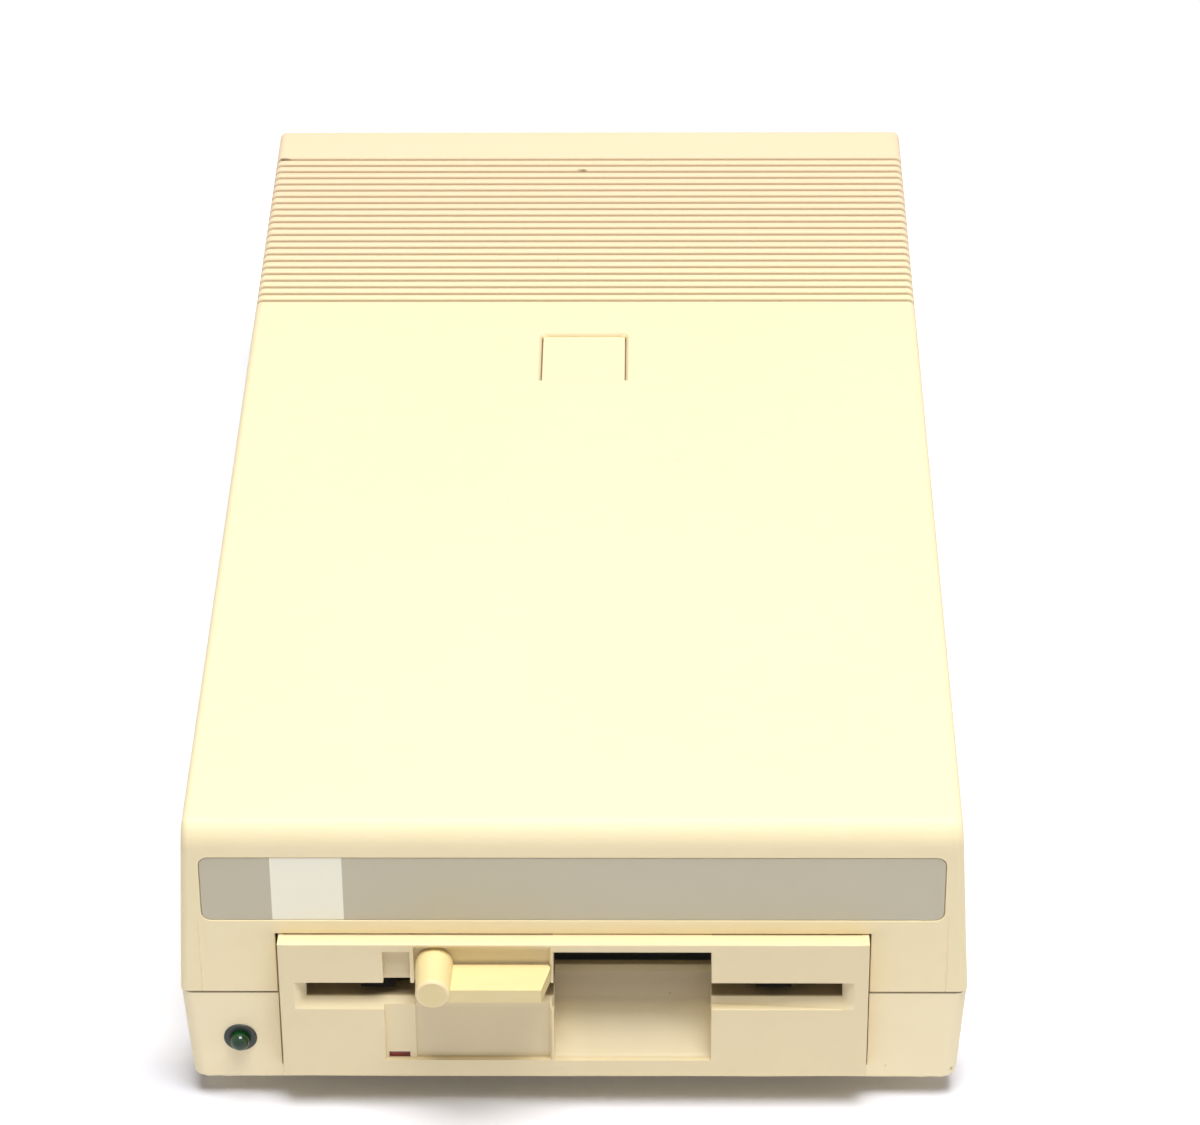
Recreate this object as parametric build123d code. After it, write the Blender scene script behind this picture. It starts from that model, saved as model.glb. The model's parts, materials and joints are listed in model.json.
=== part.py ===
from build123d import *
from math import asin, cos, degrees, radians, sin
import os

# External 5.25-inch floppy disk drive with its own mains supply, in millimetres.
# Everything is drawn in case coordinates: X to the right, Y from the front of the case to the rear,
# Z up from the lower edge of the case. save() moves each piece into the part's frame, whose origin
# is on the surface that the feet stand on, below the middle of the overall box.

# Case
CASE_WIDTH = 200.0
CASE_DEPTH = 366.0
CASE_HEIGHT = 80.3
COVER_TOP_WIDTH = 194.2
BASE_BOTTOM_WIDTH = 196.2
SEAM_HEIGHT = 28.1
SEAM_GAP = 0.6
WALL = 3.0
CORNER_RADIUS = 3.5
EDGE_RADIUS = 3.0
BOTTOM_RADIUS = 1.0
FRONT_RADIUS = 8.0
FOOT_HEIGHT = 6.5

# Front bezel of the disk mechanism
BEZEL_LEFT = -73.8
BEZEL_RIGHT = 74.6
BEZEL_BOTTOM = 4.8
BEZEL_TOP = 46.3
BEZEL_PROUD = 4.75
BEZEL_DEPTH = 9.0
OPENING_HALF_WIDTH = 75.1
OPENING_GAP = 0.6

# Disk slot, a little wider than a 133.4 mm disk jacket
SLOT_LEFT = -67.65
SLOT_RIGHT = 68.1
SLOT_BOTTOM = 28.5
SLOT_TOP = 34.5

# Clamp lever, drawn open
LEVER_X = -34.9
LEVER_Z = 40.0
LEVER_LENGTH = 29.4
LEVER_REACH = 16.5
LEVER_TURN = 90.0
CRANK_RADIUS = 4.2

# Spindle and clamp
SPINDLE_X = 0.4
SPINDLE_Y = 70.0
FLYWHEEL_RADIUS = 49.0
HUB_TOP = 30.4
CLAMP_PIVOT_Y = 164.0
CLAMP_PLATE_Z = 41.0
CLAMP_PLATE_THICK = 1.5

# Head positioner: 35 tracks at 48 per inch
TRACK_ZERO_RADIUS = 57.15
RAIL_Z = 20.5
DECK_BOTTOM = 19.0
DECK_TOP = 22.0

# Power supply and electronics
FRAME_DECK_Z = 50.0
SHEET = 1.2
BOARD_Z = 56.0
BOARD_THICK = 1.6
PANEL_Y = 352.0
PANEL_THICK = 1.5
PANEL_FACE = PANEL_Y + PANEL_THICK
CONNECTOR_Z = 25.0

# How far a cutter runs past the face that it opens, and the running fit of pins and shafts
OVERRUN = 1.0
RUNNING_FIT = 0.05

# The part's frame
OVERALL_DEPTH = CASE_DEPTH + LEVER_REACH
PART_FRAME = Pos(0, LEVER_REACH - OVERALL_DEPTH / 2, FOOT_HEIGHT)

os.makedirs("parts", exist_ok=True)


def save(name, *solids):
    """Write one node, moved from case coordinates into the part's frame."""
    pieces = [solid for shape in solids for solid in (PART_FRAME * shape).solids()]
    node = pieces[0] if len(pieces) == 1 else Compound(children=pieces)
    export_step(node, f"parts/{name}.step")


def block(x0, x1, y0, y1, z0, z1):
    """Box between two corners."""
    return Pos((x0 + x1) / 2, (y0 + y1) / 2, (z0 + z1) / 2) * Box(x1 - x0, y1 - y0, z1 - z0)


def polygon(*points):
    """Closed face through the points."""
    return make_face(Polyline(*points, close=True))


def along_x(profile, x0, x1):
    """Extrude a profile drawn in Y and Z."""
    return extrude(Plane.YZ.offset(x0) * profile, x1 - x0)


def along_y(profile, y0, y1):
    """Extrude a profile drawn in X and Z."""
    return extrude(Plane.XZ.offset(-y1) * profile, y1 - y0)


def along_z(profile, z0, z1):
    """Extrude a profile drawn in X and Y."""
    return extrude(Plane.XY.offset(z0) * profile, z1 - z0)


def centred(half, y0, y1, z0, z1):
    """Box that reaches as far to the left of the middle as to the right."""
    return block(-half, half, y0, y1, z0, z1)


def bar_x(y, z, radius, x0, x1):
    """Round bar along X."""
    return along_x(Pos(y, z) * Circle(radius), x0, x1)


def bar_y(x, z, radius, y0, y1):
    """Round bar along Y."""
    return along_y(Pos(x, z) * Circle(radius), y0, y1)


def bar_z(x, y, radius, z0, z1):
    """Round bar along Z."""
    return along_z(Pos(x, y) * Circle(radius), z0, z1)


def turned(x, y, *points):
    """Solid of revolution about a vertical axis; the points are radius and height."""
    profile = Plane.XZ * polygon(*points)
    return Pos(x, y, 0) * revolve(profile, Axis.Z)


def turned_y(x, z, *points):
    """Solid of revolution about an axis along Y; the points are radius and Y."""
    profile = Plane.XY * polygon(*points)
    return Pos(x, 0, z) * revolve(profile, Axis.Y)


def belted(*circles):
    """Face inside a tight loop round the circles, each given as centre and radius."""
    outline = [(Pos(a, b) * Circle(radius)).edge() for a, b, radius in circles]
    return make_hull(outline)


# ---------------------------------------------------------------- case shells
def plan(width, inset, z):
    """Plan of the case at height z, drawn in by inset on every side."""
    radius = max(CORNER_RADIUS - inset, 0.5)
    depth = CASE_DEPTH - 2 * inset
    return Pos(0, CASE_DEPTH / 2, z) * RectangleRounded(width - 2 * inset, depth, radius)


def front_edge_cutter(radius, inset):
    """What a round of this radius takes off the front upper edge, drawn in by inset."""
    top = CASE_HEIGHT - inset
    corner = block(-CASE_WIDTH, CASE_WIDTH, inset - 1, inset + radius, top - radius, top + 1)
    return corner - bar_x(inset + radius, top - radius, radius, -CASE_WIDTH - 1, CASE_WIDTH + 1)


def cover_form(inset, bottom):
    """The cover's outside, or its hollow when inset is the wall."""
    top = CASE_HEIGHT - inset
    return loft([plan(CASE_WIDTH, inset, bottom), plan(COVER_TOP_WIDTH, inset, top)], ruled=True)


SEAM_LOW = SEAM_HEIGHT - SEAM_GAP / 2
SEAM_HIGH = SEAM_HEIGHT + SEAM_GAP / 2
TONGUE_INSET = 1.65
REBATE_INSET = 1.5
TONGUE_TOP = SEAM_HIGH + 3.0
SEAM_CLEARANCE = 0.1

POST_X = 88.0
POST_Y = (24.0, 342.0)
BASE_POST_RADIUS = 5.0
COVER_POST_RADIUS = 4.5
WEB_HALF = 1.0
SCREW_RADIUS = 1.75
SCREW_HOLE_RADIUS = 2.05
SCREW_HEAD_RADIUS = 3.5
SCREW_HEAD_HEIGHT = 2.5
COUNTERBORE_RADIUS = 4.0
COUNTERBORE_TOP = 14.0
PILOT_TOP = 46.0
SCREW_TOP = 42.0
post_places = [(x, y) for x in (-POST_X, POST_X) for y in POST_Y]

WINDOW_HALF_WIDTH = 78.0
WINDOW_BOTTOM = 5.0
WINDOW_TOP = 46.0
RECESS_WALL = 2.0
RECESS_OUT = WINDOW_HALF_WIDTH + RECESS_WALL
PANEL_RIB = 3.0
PANEL_RIB_WIDTH = 6.0

RIB_COUNT = 23
RIB_PITCH = 3.97
FIRST_GROOVE_Y = 259.5
GROOVE_WIDTH = 1.35
GROOVE_DEPTH = 1.3
GROOVE_DROP = 14.0

BADGE_LEFT = -13.6
BADGE_RIGHT = 13.7
BADGE_FRONT = 213.9
BADGE_REAR = 240.4
BADGE_DEPTH = 1.1
BADGE_CORNER = 2.6
BADGE_RIM = 0.8
BADGE_GAP = 0.5
BADGE_GAP_DEPTH = 1.0

LABEL_HALF_WIDTH = 93.36
LABEL_BOTTOM = 50.7
LABEL_TOP = 70.4
LABEL_RADIUS = 2.5
LABEL_RECESS = 1.0
LABEL_THICK = 0.75
LABEL_GAP = 0.2

# Vents in the floor, under the power supply
VENT_COUNT = 12
VENT_PITCH = 11.0
VENT_WIDTH = 3.0
VENT_LENGTH = 44.0
VENT_Y = 236.0

# Feet
FOOT_RADIUS = 8.0
PEG_RADIUS = 2.0
foot_places = [(x, y) for x in (-70.0, 70.0) for y in (30.0, 336.0)]

# Side rails of the mechanism, which stand on two ribs of the base
MECH_FRONT = BEZEL_DEPTH - BEZEL_PROUD
MECH_REAR = 200.0
RAIL_LEFT = -72.6
RAIL_RIGHT = 70.4
RAIL_THICK = 3.0
RAIL_BOTTOM = 5.5
RAIL_TOP = 38.0
FLOOR_RIB_FRONT = MECH_FRONT + 6.0

# Screws that hold the sheet-steel frame to the floor
FRAME_SCREW_RADIUS = 1.4
FRAME_SCREW_TIP = 1.0
FRAME_HEAD_RADIUS = 1.75
FRAME_HEAD_HEIGHT = 1.8
frame_screw_places = [(x, y) for x in (-77.0, 77.0) for y in (60.0, 240.0)]

# Power lamp
LAMP_X = -85.4
LAMP_Z = 13.1
LAMP_FLANGE_RADIUS = 4.25
LAMP_SLEEVE_RADIUS = 3.3
LAMP_RADIUS = 2.5
LAMP_DOME_Y = -1.6
LAMP_FLANGE_THICK = 0.5
LAMP_FLANGE_CHAMFER = 0.3
LAMP_SLEEVE_END = 6.0
LAMP_LENS_END = 9.0


def half_width(z):
    """Half the cover's width at height z."""
    share = (z - SEAM_HIGH) / (CASE_HEIGHT - SEAM_HIGH)
    return (CASE_WIDTH + (COVER_TOP_WIDTH - CASE_WIDTH) * share) / 2


def groove_profile():
    """Section of one groove, which runs across the top and down both sides."""
    low = CASE_HEIGHT - GROOVE_DROP
    top = CASE_HEIGHT - GROOVE_DEPTH
    foot = half_width(low) - GROOVE_DEPTH
    shoulder = half_width(top) - GROOVE_DEPTH
    core = polygon((-foot, low), (-shoulder, top), (shoulder, top), (foot, low))
    core = fillet(core.vertices().group_by(Axis.Y)[-1], EDGE_RADIUS - GROOVE_DEPTH)
    stock = Pos(0, low + GROOVE_DROP) * Rectangle(CASE_WIDTH + 10, 2 * GROOVE_DROP)
    return stock - core


def label_outline(gap):
    """Outline of the label recess, or of the plate when gap is the space around it."""
    width = 2 * (LABEL_HALF_WIDTH - gap)
    height = LABEL_TOP - LABEL_BOTTOM - 2 * gap
    return Pos(0, (LABEL_BOTTOM + LABEL_TOP) / 2) * RectangleRounded(width, height, LABEL_RADIUS - gap)


def badge_plan(inset, z):
    """Plan of the badge recess at height z, drawn in by inset; its rear corners are round."""
    width = BADGE_RIGHT - BADGE_LEFT - 2 * inset
    depth = BADGE_REAR - BADGE_FRONT - 2 * inset
    plate = Pos((BADGE_LEFT + BADGE_RIGHT) / 2, (BADGE_FRONT + BADGE_REAR) / 2) * Rectangle(width, depth)
    return Pos(0, 0, z) * fillet(plate.vertices().group_by(Axis.Y)[-1], BADGE_CORNER - inset)


def badge_recess():
    """What is taken out for the badge: a shallow recess with a soft rim, and the gap round its plate."""
    floor = CASE_HEIGHT - BADGE_DEPTH
    recess = extrude(badge_plan(0, floor), BADGE_DEPTH + OVERRUN)
    rim = loft([badge_plan(0, CASE_HEIGHT - BADGE_RIM), badge_plan(-BADGE_RIM, CASE_HEIGHT)], ruled=True)
    gap = extrude(badge_plan(0, floor - BADGE_GAP_DEPTH) - badge_plan(BADGE_GAP, floor - BADGE_GAP_DEPTH),
                  BADGE_GAP_DEPTH)
    return recess + rim + gap


def make_cover():
    """Upper half of the case."""
    cover = cover_form(0, SEAM_HIGH)
    cover = fillet(cover.edges().group_by(Axis.Z)[-1], EDGE_RADIUS)
    cover -= front_edge_cutter(FRONT_RADIUS, 0)
    hollow = cover_form(WALL, SEAM_HIGH - 1)
    hollow -= front_edge_cutter(FRONT_RADIUS - WALL, WALL)
    rebate = along_z(plan(CASE_WIDTH, REBATE_INSET, 0), SEAM_HIGH - 1, TONGUE_TOP)
    cover -= hollow + rebate

    for x, y in post_places:
        side = 1 if x > 0 else -1
        wall_x = side * (half_width(CASE_HEIGHT) - WALL / 2)
        in_roof = CASE_HEIGHT - WALL / 2
        web = block(*sorted((x, wall_x)), y - WEB_HALF, y + WEB_HALF, PILOT_TOP, in_roof)
        cover += bar_z(x, y, COVER_POST_RADIUS, SEAM_HEIGHT, in_roof) + web
        cover -= bar_z(x, y, SCREW_RADIUS, SEAM_HEIGHT - OVERRUN, PILOT_TOP)

    in_rear_wall = CASE_DEPTH - WALL / 2
    cover += centred(RECESS_OUT, PANEL_FACE, in_rear_wall, SEAM_HEIGHT, WINDOW_TOP + RECESS_WALL)
    tongue_room = plan(CASE_WIDTH, WALL + SEAM_CLEARANCE, 0)
    cover -= rebate - along_z(tongue_room, SEAM_HIGH - 2 * OVERRUN, TONGUE_TOP + OVERRUN)
    cover -= centred(WINDOW_HALF_WIDTH, PANEL_FACE - OVERRUN, CASE_DEPTH + OVERRUN,
                     SEAM_HEIGHT - OVERRUN, WINDOW_TOP)
    front_top = BEZEL_TOP + OPENING_GAP
    cover -= centred(OPENING_HALF_WIDTH, -OVERRUN, WALL + OVERRUN, SEAM_HEIGHT - OVERRUN, front_top)

    groove = groove_profile()
    for n in range(RIB_COUNT):
        y = FIRST_GROOVE_Y + n * RIB_PITCH
        cover -= along_y(groove, y - GROOVE_WIDTH / 2, y + GROOVE_WIDTH / 2)

    cover -= badge_recess()
    cover -= along_y(label_outline(0), -OVERRUN, LABEL_RECESS)
    return cover


def make_base():
    """Lower half of the case: a tray with screw posts, vents and a tongue that the cover sits on."""
    base = loft([plan(BASE_BOTTOM_WIDTH, 0, 0), plan(CASE_WIDTH, 0, SEAM_LOW)], ruled=True)
    base = fillet(base.edges().group_by(Axis.Z)[0], BOTTOM_RADIUS)
    base += along_z(plan(CASE_WIDTH, TONGUE_INSET, 0), SEAM_LOW, TONGUE_TOP)
    base -= loft([plan(BASE_BOTTOM_WIDTH, WALL, WALL), plan(CASE_WIDTH, WALL, TONGUE_TOP)], ruled=True)

    in_floor = WALL / 2
    web_top = SEAM_LOW - 2
    for x, y in post_places:
        side = 1 if x > 0 else -1
        wall_x = side * (BASE_BOTTOM_WIDTH / 2 - WALL / 2)
        web = block(*sorted((x, wall_x)), y - WEB_HALF, y + WEB_HALF, in_floor, web_top)
        base += bar_z(x, y, BASE_POST_RADIUS, in_floor, SEAM_HEIGHT) + web
        base -= bar_z(x, y, COUNTERBORE_RADIUS, -OVERRUN, COUNTERBORE_TOP)
        base -= bar_z(x, y, SCREW_HOLE_RADIUS, COUNTERBORE_TOP - OVERRUN, SEAM_HEIGHT + OVERRUN)

    base += centred(RECESS_OUT, PANEL_FACE, CASE_DEPTH - WALL / 2, in_floor, SEAM_HEIGHT)
    for side in (-1, 1):
        rib = sorted((side * (RECESS_OUT + 1 - PANEL_RIB_WIDTH), side * (RECESS_OUT + 1)))
        base += block(*rib, PANEL_Y - PANEL_RIB, PANEL_Y, in_floor, web_top)
    base -= centred(WINDOW_HALF_WIDTH, PANEL_FACE - OVERRUN, CASE_DEPTH + OVERRUN, WINDOW_BOTTOM, CASE_HEIGHT)
    front_bottom = BEZEL_BOTTOM - OPENING_GAP
    base -= centred(OPENING_HALF_WIDTH, -OVERRUN, WALL + OVERRUN, front_bottom, CASE_HEIGHT)
    for x in (RAIL_LEFT, RAIL_RIGHT):
        base += block(x - 1, x + RAIL_THICK + 1, FLOOR_RIB_FRONT, MECH_REAR, in_floor, RAIL_BOTTOM)
    for n in range(VENT_COUNT):
        x = (n - (VENT_COUNT - 1) / 2) * VENT_PITCH
        vent = Pos(x, VENT_Y) * SlotOverall(VENT_LENGTH, VENT_WIDTH, 90)
        base -= along_z(vent, -OVERRUN, WALL + OVERRUN)
    for x, y in foot_places:
        base -= bar_z(x, y, PEG_RADIUS, -OVERRUN, WALL + OVERRUN)
    for x, y in frame_screw_places:
        base -= bar_z(x, y, FRAME_SCREW_RADIUS, FRAME_SCREW_TIP, WALL + OVERRUN)
    base -= bar_y(LAMP_X, LAMP_Z, LAMP_SLEEVE_RADIUS, -OVERRUN, WALL + OVERRUN)
    return base


save("top_shell", make_cover())
save("base_shell", make_base())

label = along_y(label_outline(LABEL_GAP), LABEL_RECESS - LABEL_THICK, LABEL_RECESS)
save("label_plate", label)

lamp_ring = turned_y(LAMP_X, LAMP_Z, (LAMP_RADIUS, -LAMP_FLANGE_THICK),
                     (LAMP_FLANGE_RADIUS - LAMP_FLANGE_CHAMFER, -LAMP_FLANGE_THICK),
                     (LAMP_FLANGE_RADIUS, LAMP_FLANGE_CHAMFER - LAMP_FLANGE_THICK), (LAMP_FLANGE_RADIUS, 0),
                     (LAMP_SLEEVE_RADIUS, 0), (LAMP_SLEEVE_RADIUS, LAMP_SLEEVE_END),
                     (LAMP_RADIUS, LAMP_SLEEVE_END))
save("power_led_ring", lamp_ring)
lamp_lens = bar_y(LAMP_X, LAMP_Z, LAMP_RADIUS, LAMP_DOME_Y, LAMP_LENS_END)
lamp_lens += Pos(LAMP_X, LAMP_DOME_Y, LAMP_Z) * Sphere(LAMP_RADIUS)
save("power_led_lens", lamp_lens)

FOOT_TAPER = 0.7
FOOT_CHAMFER = 0.8
foot_wide = FOOT_RADIUS - FOOT_TAPER
feet = [bar_z(x, y, PEG_RADIUS, -1, WALL)
        + turned(x, y, (0, -FOOT_HEIGHT), (foot_wide - FOOT_CHAMFER, -FOOT_HEIGHT),
                 (foot_wide, FOOT_CHAMFER - FOOT_HEIGHT), (FOOT_RADIUS, 0), (0, 0))
        for x, y in foot_places]
save("rubber_feet", *feet)

screws = [bar_z(x, y, SCREW_HEAD_RADIUS, COUNTERBORE_TOP - SCREW_HEAD_HEIGHT, COUNTERBORE_TOP)
          + bar_z(x, y, SCREW_RADIUS - RUNNING_FIT, COUNTERBORE_TOP, SCREW_TOP) for x, y in post_places]
save("case_screws", *screws)

# ---------------------------------------------------------------- front bezel
FACE = -BEZEL_PROUD
BEZEL_BACK = MECH_FRONT
BEZEL_SKIN = 5.0
BEZEL_RIM = 2.5
BEZEL_EDGE = 0.6
LINING_FRONT = FACE + 3.0
LINING_SIDE = 2.0
LINING_BELOW = 4.0
FLARE_DEPTH = 2.55
FLARE_SIDE = 2.95
FLARE_DROP = 2.5

NOTCH_LEFT = -48.0
NOTCH_RIGHT = -41.1
NOTCH_TOP = 44.3
NOTCH_DEPTH = 2.1
CHANNEL_LEFT = -47.8
CHANNEL_DEPTH = 1.2
FLOOR_RIM = 9.5
POCKET_LEFT = -40.05
POCKET_RIGHT = -5.1
POCKET_TOP = 45.2
POCKET_BREAK = 45.9
POCKET_DEPTH = 1.5
POCKET_RAMP = 1.2

SCOOP_LEFT = -4.95
SCOOP_RIGHT = 34.9
SCOOP_BOTTOM = 9.6
SCOOP_TOP = 44.25
SCOOP_LIP_DEPTH = 1.6
SCOOP_WALL_DEPTH = 12.5
SCOOP_RISE = 8.5
SCOOP_BEND = 6.0
SCOOP_LEDGE_DEPTH = 15.4
SCOOP_LEDGE_CHAMFER = 1.3
SCOOP_BACK_DEPTH = 17.2
SCOOP_SKIN = 2.0
SCOOP_CHAMFER = 0.7

ACTIVITY_LEFT = -47.2
ACTIVITY_RIGHT = -41.8
ACTIVITY_BOTTOM = 9.7
ACTIVITY_TOP = 11.5

BUSH_RADIUS = 4.0
BUSH_WALL = 2.0
LEVER_SHAFT_RADIUS = 2.5


def window(x0, x1, z0, z1, y, grow):
    """Rectangle in X and Z at depth y, larger by grow on every side."""
    centre = Pos((x0 + x1) / 2, (z0 + z1) / 2)
    return Plane.XZ.offset(-y) * (centre * Rectangle(x1 - x0 + 2 * grow, z1 - z0 + 2 * grow))


def scoop_profile():
    """Finger scoop in Y and Z: a lip, a slope that curves up into a wall, and the chamfer of its ledge."""
    corner = (FACE + SCOOP_WALL_DEPTH, SCOOP_BOTTOM + SCOOP_RISE)
    ledge_front = FACE + SCOOP_LEDGE_DEPTH - SCOOP_LEDGE_CHAMFER
    face = polygon((FACE - OVERRUN, SLOT_BOTTOM), (FACE - OVERRUN, SCOOP_BOTTOM),
                   (FACE + SCOOP_LIP_DEPTH, SCOOP_BOTTOM), corner,
                   (ledge_front, SLOT_BOTTOM - SCOOP_LEDGE_CHAMFER), (FACE + SCOOP_LEDGE_DEPTH, SLOT_BOTTOM))
    bend = face.vertices().sort_by_distance(Vertex(corner[0], corner[1], 0))[0]
    return fillet(bend, SCOOP_BEND)


def lever_pocket():
    """Shallow pocket that the lever sweeps, with a ramp at its right end and a chamfer along its top."""
    floor = FACE + POCKET_DEPTH
    before = FACE - OVERRUN
    in_plan = polygon((POCKET_LEFT, before), (POCKET_RIGHT, before), (POCKET_RIGHT, FACE),
                      (POCKET_RIGHT - POCKET_RAMP, floor), (POCKET_LEFT, floor))
    from_side = polygon((before, FLOOR_RIM), (floor, FLOOR_RIM), (floor, POCKET_TOP),
                        (FACE, POCKET_BREAK), (before, POCKET_BREAK))
    return along_z(in_plan, FLOOR_RIM, POCKET_BREAK) & along_x(from_side, POCKET_LEFT, POCKET_RIGHT)


def make_bezel():
    """Moulded front of the mechanism, hollow behind."""
    body = block(BEZEL_LEFT, BEZEL_RIGHT, FACE, BEZEL_BACK, BEZEL_BOTTOM, BEZEL_TOP)
    front_edges = body.faces().sort_by(Axis.Y)[0].edges()
    body = fillet(front_edges, BEZEL_EDGE)
    rim = BEZEL_RIM
    before = FACE - OVERRUN
    behind = BEZEL_BACK + OVERRUN
    body -= block(BEZEL_LEFT + rim, BEZEL_RIGHT - rim, FACE + BEZEL_SKIN, behind,
                  BEZEL_BOTTOM + rim, BEZEL_TOP - rim)
    body += block(SLOT_LEFT - LINING_SIDE, SLOT_RIGHT + LINING_SIDE, LINING_FRONT, BEZEL_BACK,
                  SLOT_BOTTOM - LINING_BELOW, SLOT_TOP + LINING_SIDE)
    scoop_left = SCOOP_LEFT - SCOOP_SKIN
    scoop_right = SCOOP_RIGHT + SCOOP_SKIN
    body += block(scoop_left, scoop_right, LINING_FRONT, BEZEL_BACK, SLOT_TOP, BEZEL_TOP - OPENING_GAP)
    body += bar_y(LEVER_X, LEVER_Z, BUSH_RADIUS + BUSH_WALL, LINING_FRONT, BEZEL_BACK)
    body += block(scoop_left, scoop_right, LINING_FRONT, FACE + SCOOP_BACK_DEPTH, SCOOP_BOTTOM - SCOOP_SKIN,
                  SLOT_BOTTOM)

    body -= block(SLOT_LEFT, SLOT_RIGHT, before, behind, SLOT_BOTTOM, SLOT_TOP)
    mouth = [(SLOT_LEFT - FLARE_SIDE, SLOT_RIGHT + FLARE_SIDE, SLOT_BOTTOM - FLARE_DROP, SLOT_TOP, FACE),
             (SLOT_LEFT, SLOT_RIGHT, SLOT_BOTTOM, SLOT_TOP, FACE + FLARE_DEPTH)]
    body -= loft([window(x0, x1, z0, z1, y, 0) for x0, x1, z0, z1, y in mouth], ruled=True)
    body -= block(NOTCH_LEFT, NOTCH_RIGHT, before, FACE + NOTCH_DEPTH, SLOT_TOP - OVERRUN, NOTCH_TOP)
    body -= block(CHANNEL_LEFT, POCKET_LEFT, before, FACE + CHANNEL_DEPTH, FLOOR_RIM, SLOT_TOP)
    body -= lever_pocket()
    body -= along_x(scoop_profile(), SCOOP_LEFT, SCOOP_RIGHT)
    body -= block(SCOOP_LEFT, SCOOP_RIGHT, before, behind, SLOT_BOTTOM, SCOOP_TOP)
    body -= loft([window(SCOOP_LEFT, SCOOP_RIGHT, SCOOP_BOTTOM, SCOOP_TOP, FACE, SCOOP_CHAMFER),
                  window(SCOOP_LEFT, SCOOP_RIGHT, SCOOP_BOTTOM, SCOOP_TOP, FACE + SCOOP_CHAMFER, 0)],
                 ruled=True)
    body -= block(ACTIVITY_LEFT, ACTIVITY_RIGHT, FACE, behind, ACTIVITY_BOTTOM, ACTIVITY_TOP)
    body -= bar_y(LEVER_X, LEVER_Z, BUSH_RADIUS, FACE, behind)
    return body


save("front_bezel", make_bezel())
ACTIVITY_SUNK = 0.2
ACTIVITY_END = 7.0
activity = block(ACTIVITY_LEFT, ACTIVITY_RIGHT, FACE + CHANNEL_DEPTH + ACTIVITY_SUNK, FACE + ACTIVITY_END,
                 ACTIVITY_BOTTOM, ACTIVITY_TOP)
save("activity_led", activity)

# Two black fingers hang from the slot's roof and keep the disk jacket down as it goes in
FINGER_X = (-49.4, 51.6)
FINGER_HALF_WIDTH = 4.4
FINGER_FRONT = FACE + 2.9
FINGER_BOTTOM = 31.0
fingers = [block(x - FINGER_HALF_WIDTH, x + FINGER_HALF_WIDTH, FINGER_FRONT, BEZEL_BACK,
                 FINGER_BOTTOM, SLOT_TOP) for x in FINGER_X]
save("slot_fingers", *fingers)

# ---------------------------------------------------------------- lever, shaft and crank
KNOB_BASE_RADIUS = 4.82
KNOB_END_RADIUS = 4.3
KNOB_CHAMFER = 0.5
KNOB_BASE = FACE + POCKET_DEPTH - 0.3
KNOB_END = -LEVER_REACH
ARM_THICK = 4.0
ARM_BACK = FACE + 0.6
ARM_TIP_CHAMFER = 0.9
ARM_FRONT = -14.5
ARM_SLANT = 2.3
CRANK_FRONT = 12.0
CRANK_THICK = 2.5
CRANK_PIN_RADIUS = 1.25
CRANK_PIN_END = 19.5
CRANK_ANGLE = 45.0
ARM_TIP_RADIUS = 1.5
CRANK_RIM = 1.5
CRANK_PIN_RIM = 1.1
SHAFT_FRONT = KNOB_BASE - 8.0

knob = turned_y(LEVER_X, LEVER_Z, (0, KNOB_BASE), (KNOB_BASE_RADIUS, KNOB_BASE),
                (KNOB_END_RADIUS, KNOB_END + KNOB_CHAMFER), (KNOB_END_RADIUS - KNOB_CHAMFER, KNOB_END),
                (0, KNOB_END))
tip_x = LEVER_X + LEVER_LENGTH
arm_plan = polygon((LEVER_X, ARM_BACK), (tip_x - ARM_TIP_CHAMFER, ARM_BACK),
                   (tip_x, ARM_BACK - ARM_TIP_CHAMFER), (tip_x - ARM_SLANT, ARM_FRONT), (LEVER_X, ARM_FRONT))
lever_arm = along_z(arm_plan, LEVER_Z - ARM_THICK, LEVER_Z)
low_tip = lever_arm.edges().group_by(Axis.X)[-1].sort_by(Axis.Z)[0]
lever_arm = fillet(low_tip, ARM_TIP_RADIUS)
lever = knob + lever_arm - bar_y(LEVER_X, LEVER_Z, LEVER_SHAFT_RADIUS, SHAFT_FRONT, KNOB_BASE + OVERRUN)
save("lever", lever)
save("lever_shaft", bar_y(LEVER_X, LEVER_Z, LEVER_SHAFT_RADIUS, SHAFT_FRONT, CRANK_FRONT + CRANK_THICK))

pin_x = LEVER_X + CRANK_RADIUS * cos(radians(CRANK_ANGLE))
pin_z = LEVER_Z + CRANK_RADIUS * sin(radians(CRANK_ANGLE))
crank_web = belted((LEVER_X, LEVER_Z, LEVER_SHAFT_RADIUS + CRANK_RIM),
                   (pin_x, pin_z, CRANK_PIN_RADIUS + CRANK_PIN_RIM))
crank_back = CRANK_FRONT + CRANK_THICK
crank = along_y(crank_web, CRANK_FRONT, crank_back)
crank += bar_y(pin_x, pin_z, CRANK_PIN_RADIUS, CRANK_FRONT, CRANK_PIN_END)
crank -= bar_y(LEVER_X, LEVER_Z, LEVER_SHAFT_RADIUS, CRANK_FRONT - OVERRUN, crank_back + OVERRUN)
save("lever_crank", crank)

bush_end = BEZEL_BACK + 2
bush = bar_y(LEVER_X, LEVER_Z, BUSH_RADIUS, FACE + POCKET_DEPTH, bush_end)
bush -= bar_y(LEVER_X, LEVER_Z, LEVER_SHAFT_RADIUS + RUNNING_FIT, FACE, bush_end + OVERRUN)
save("lever_bush", bush)

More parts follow.
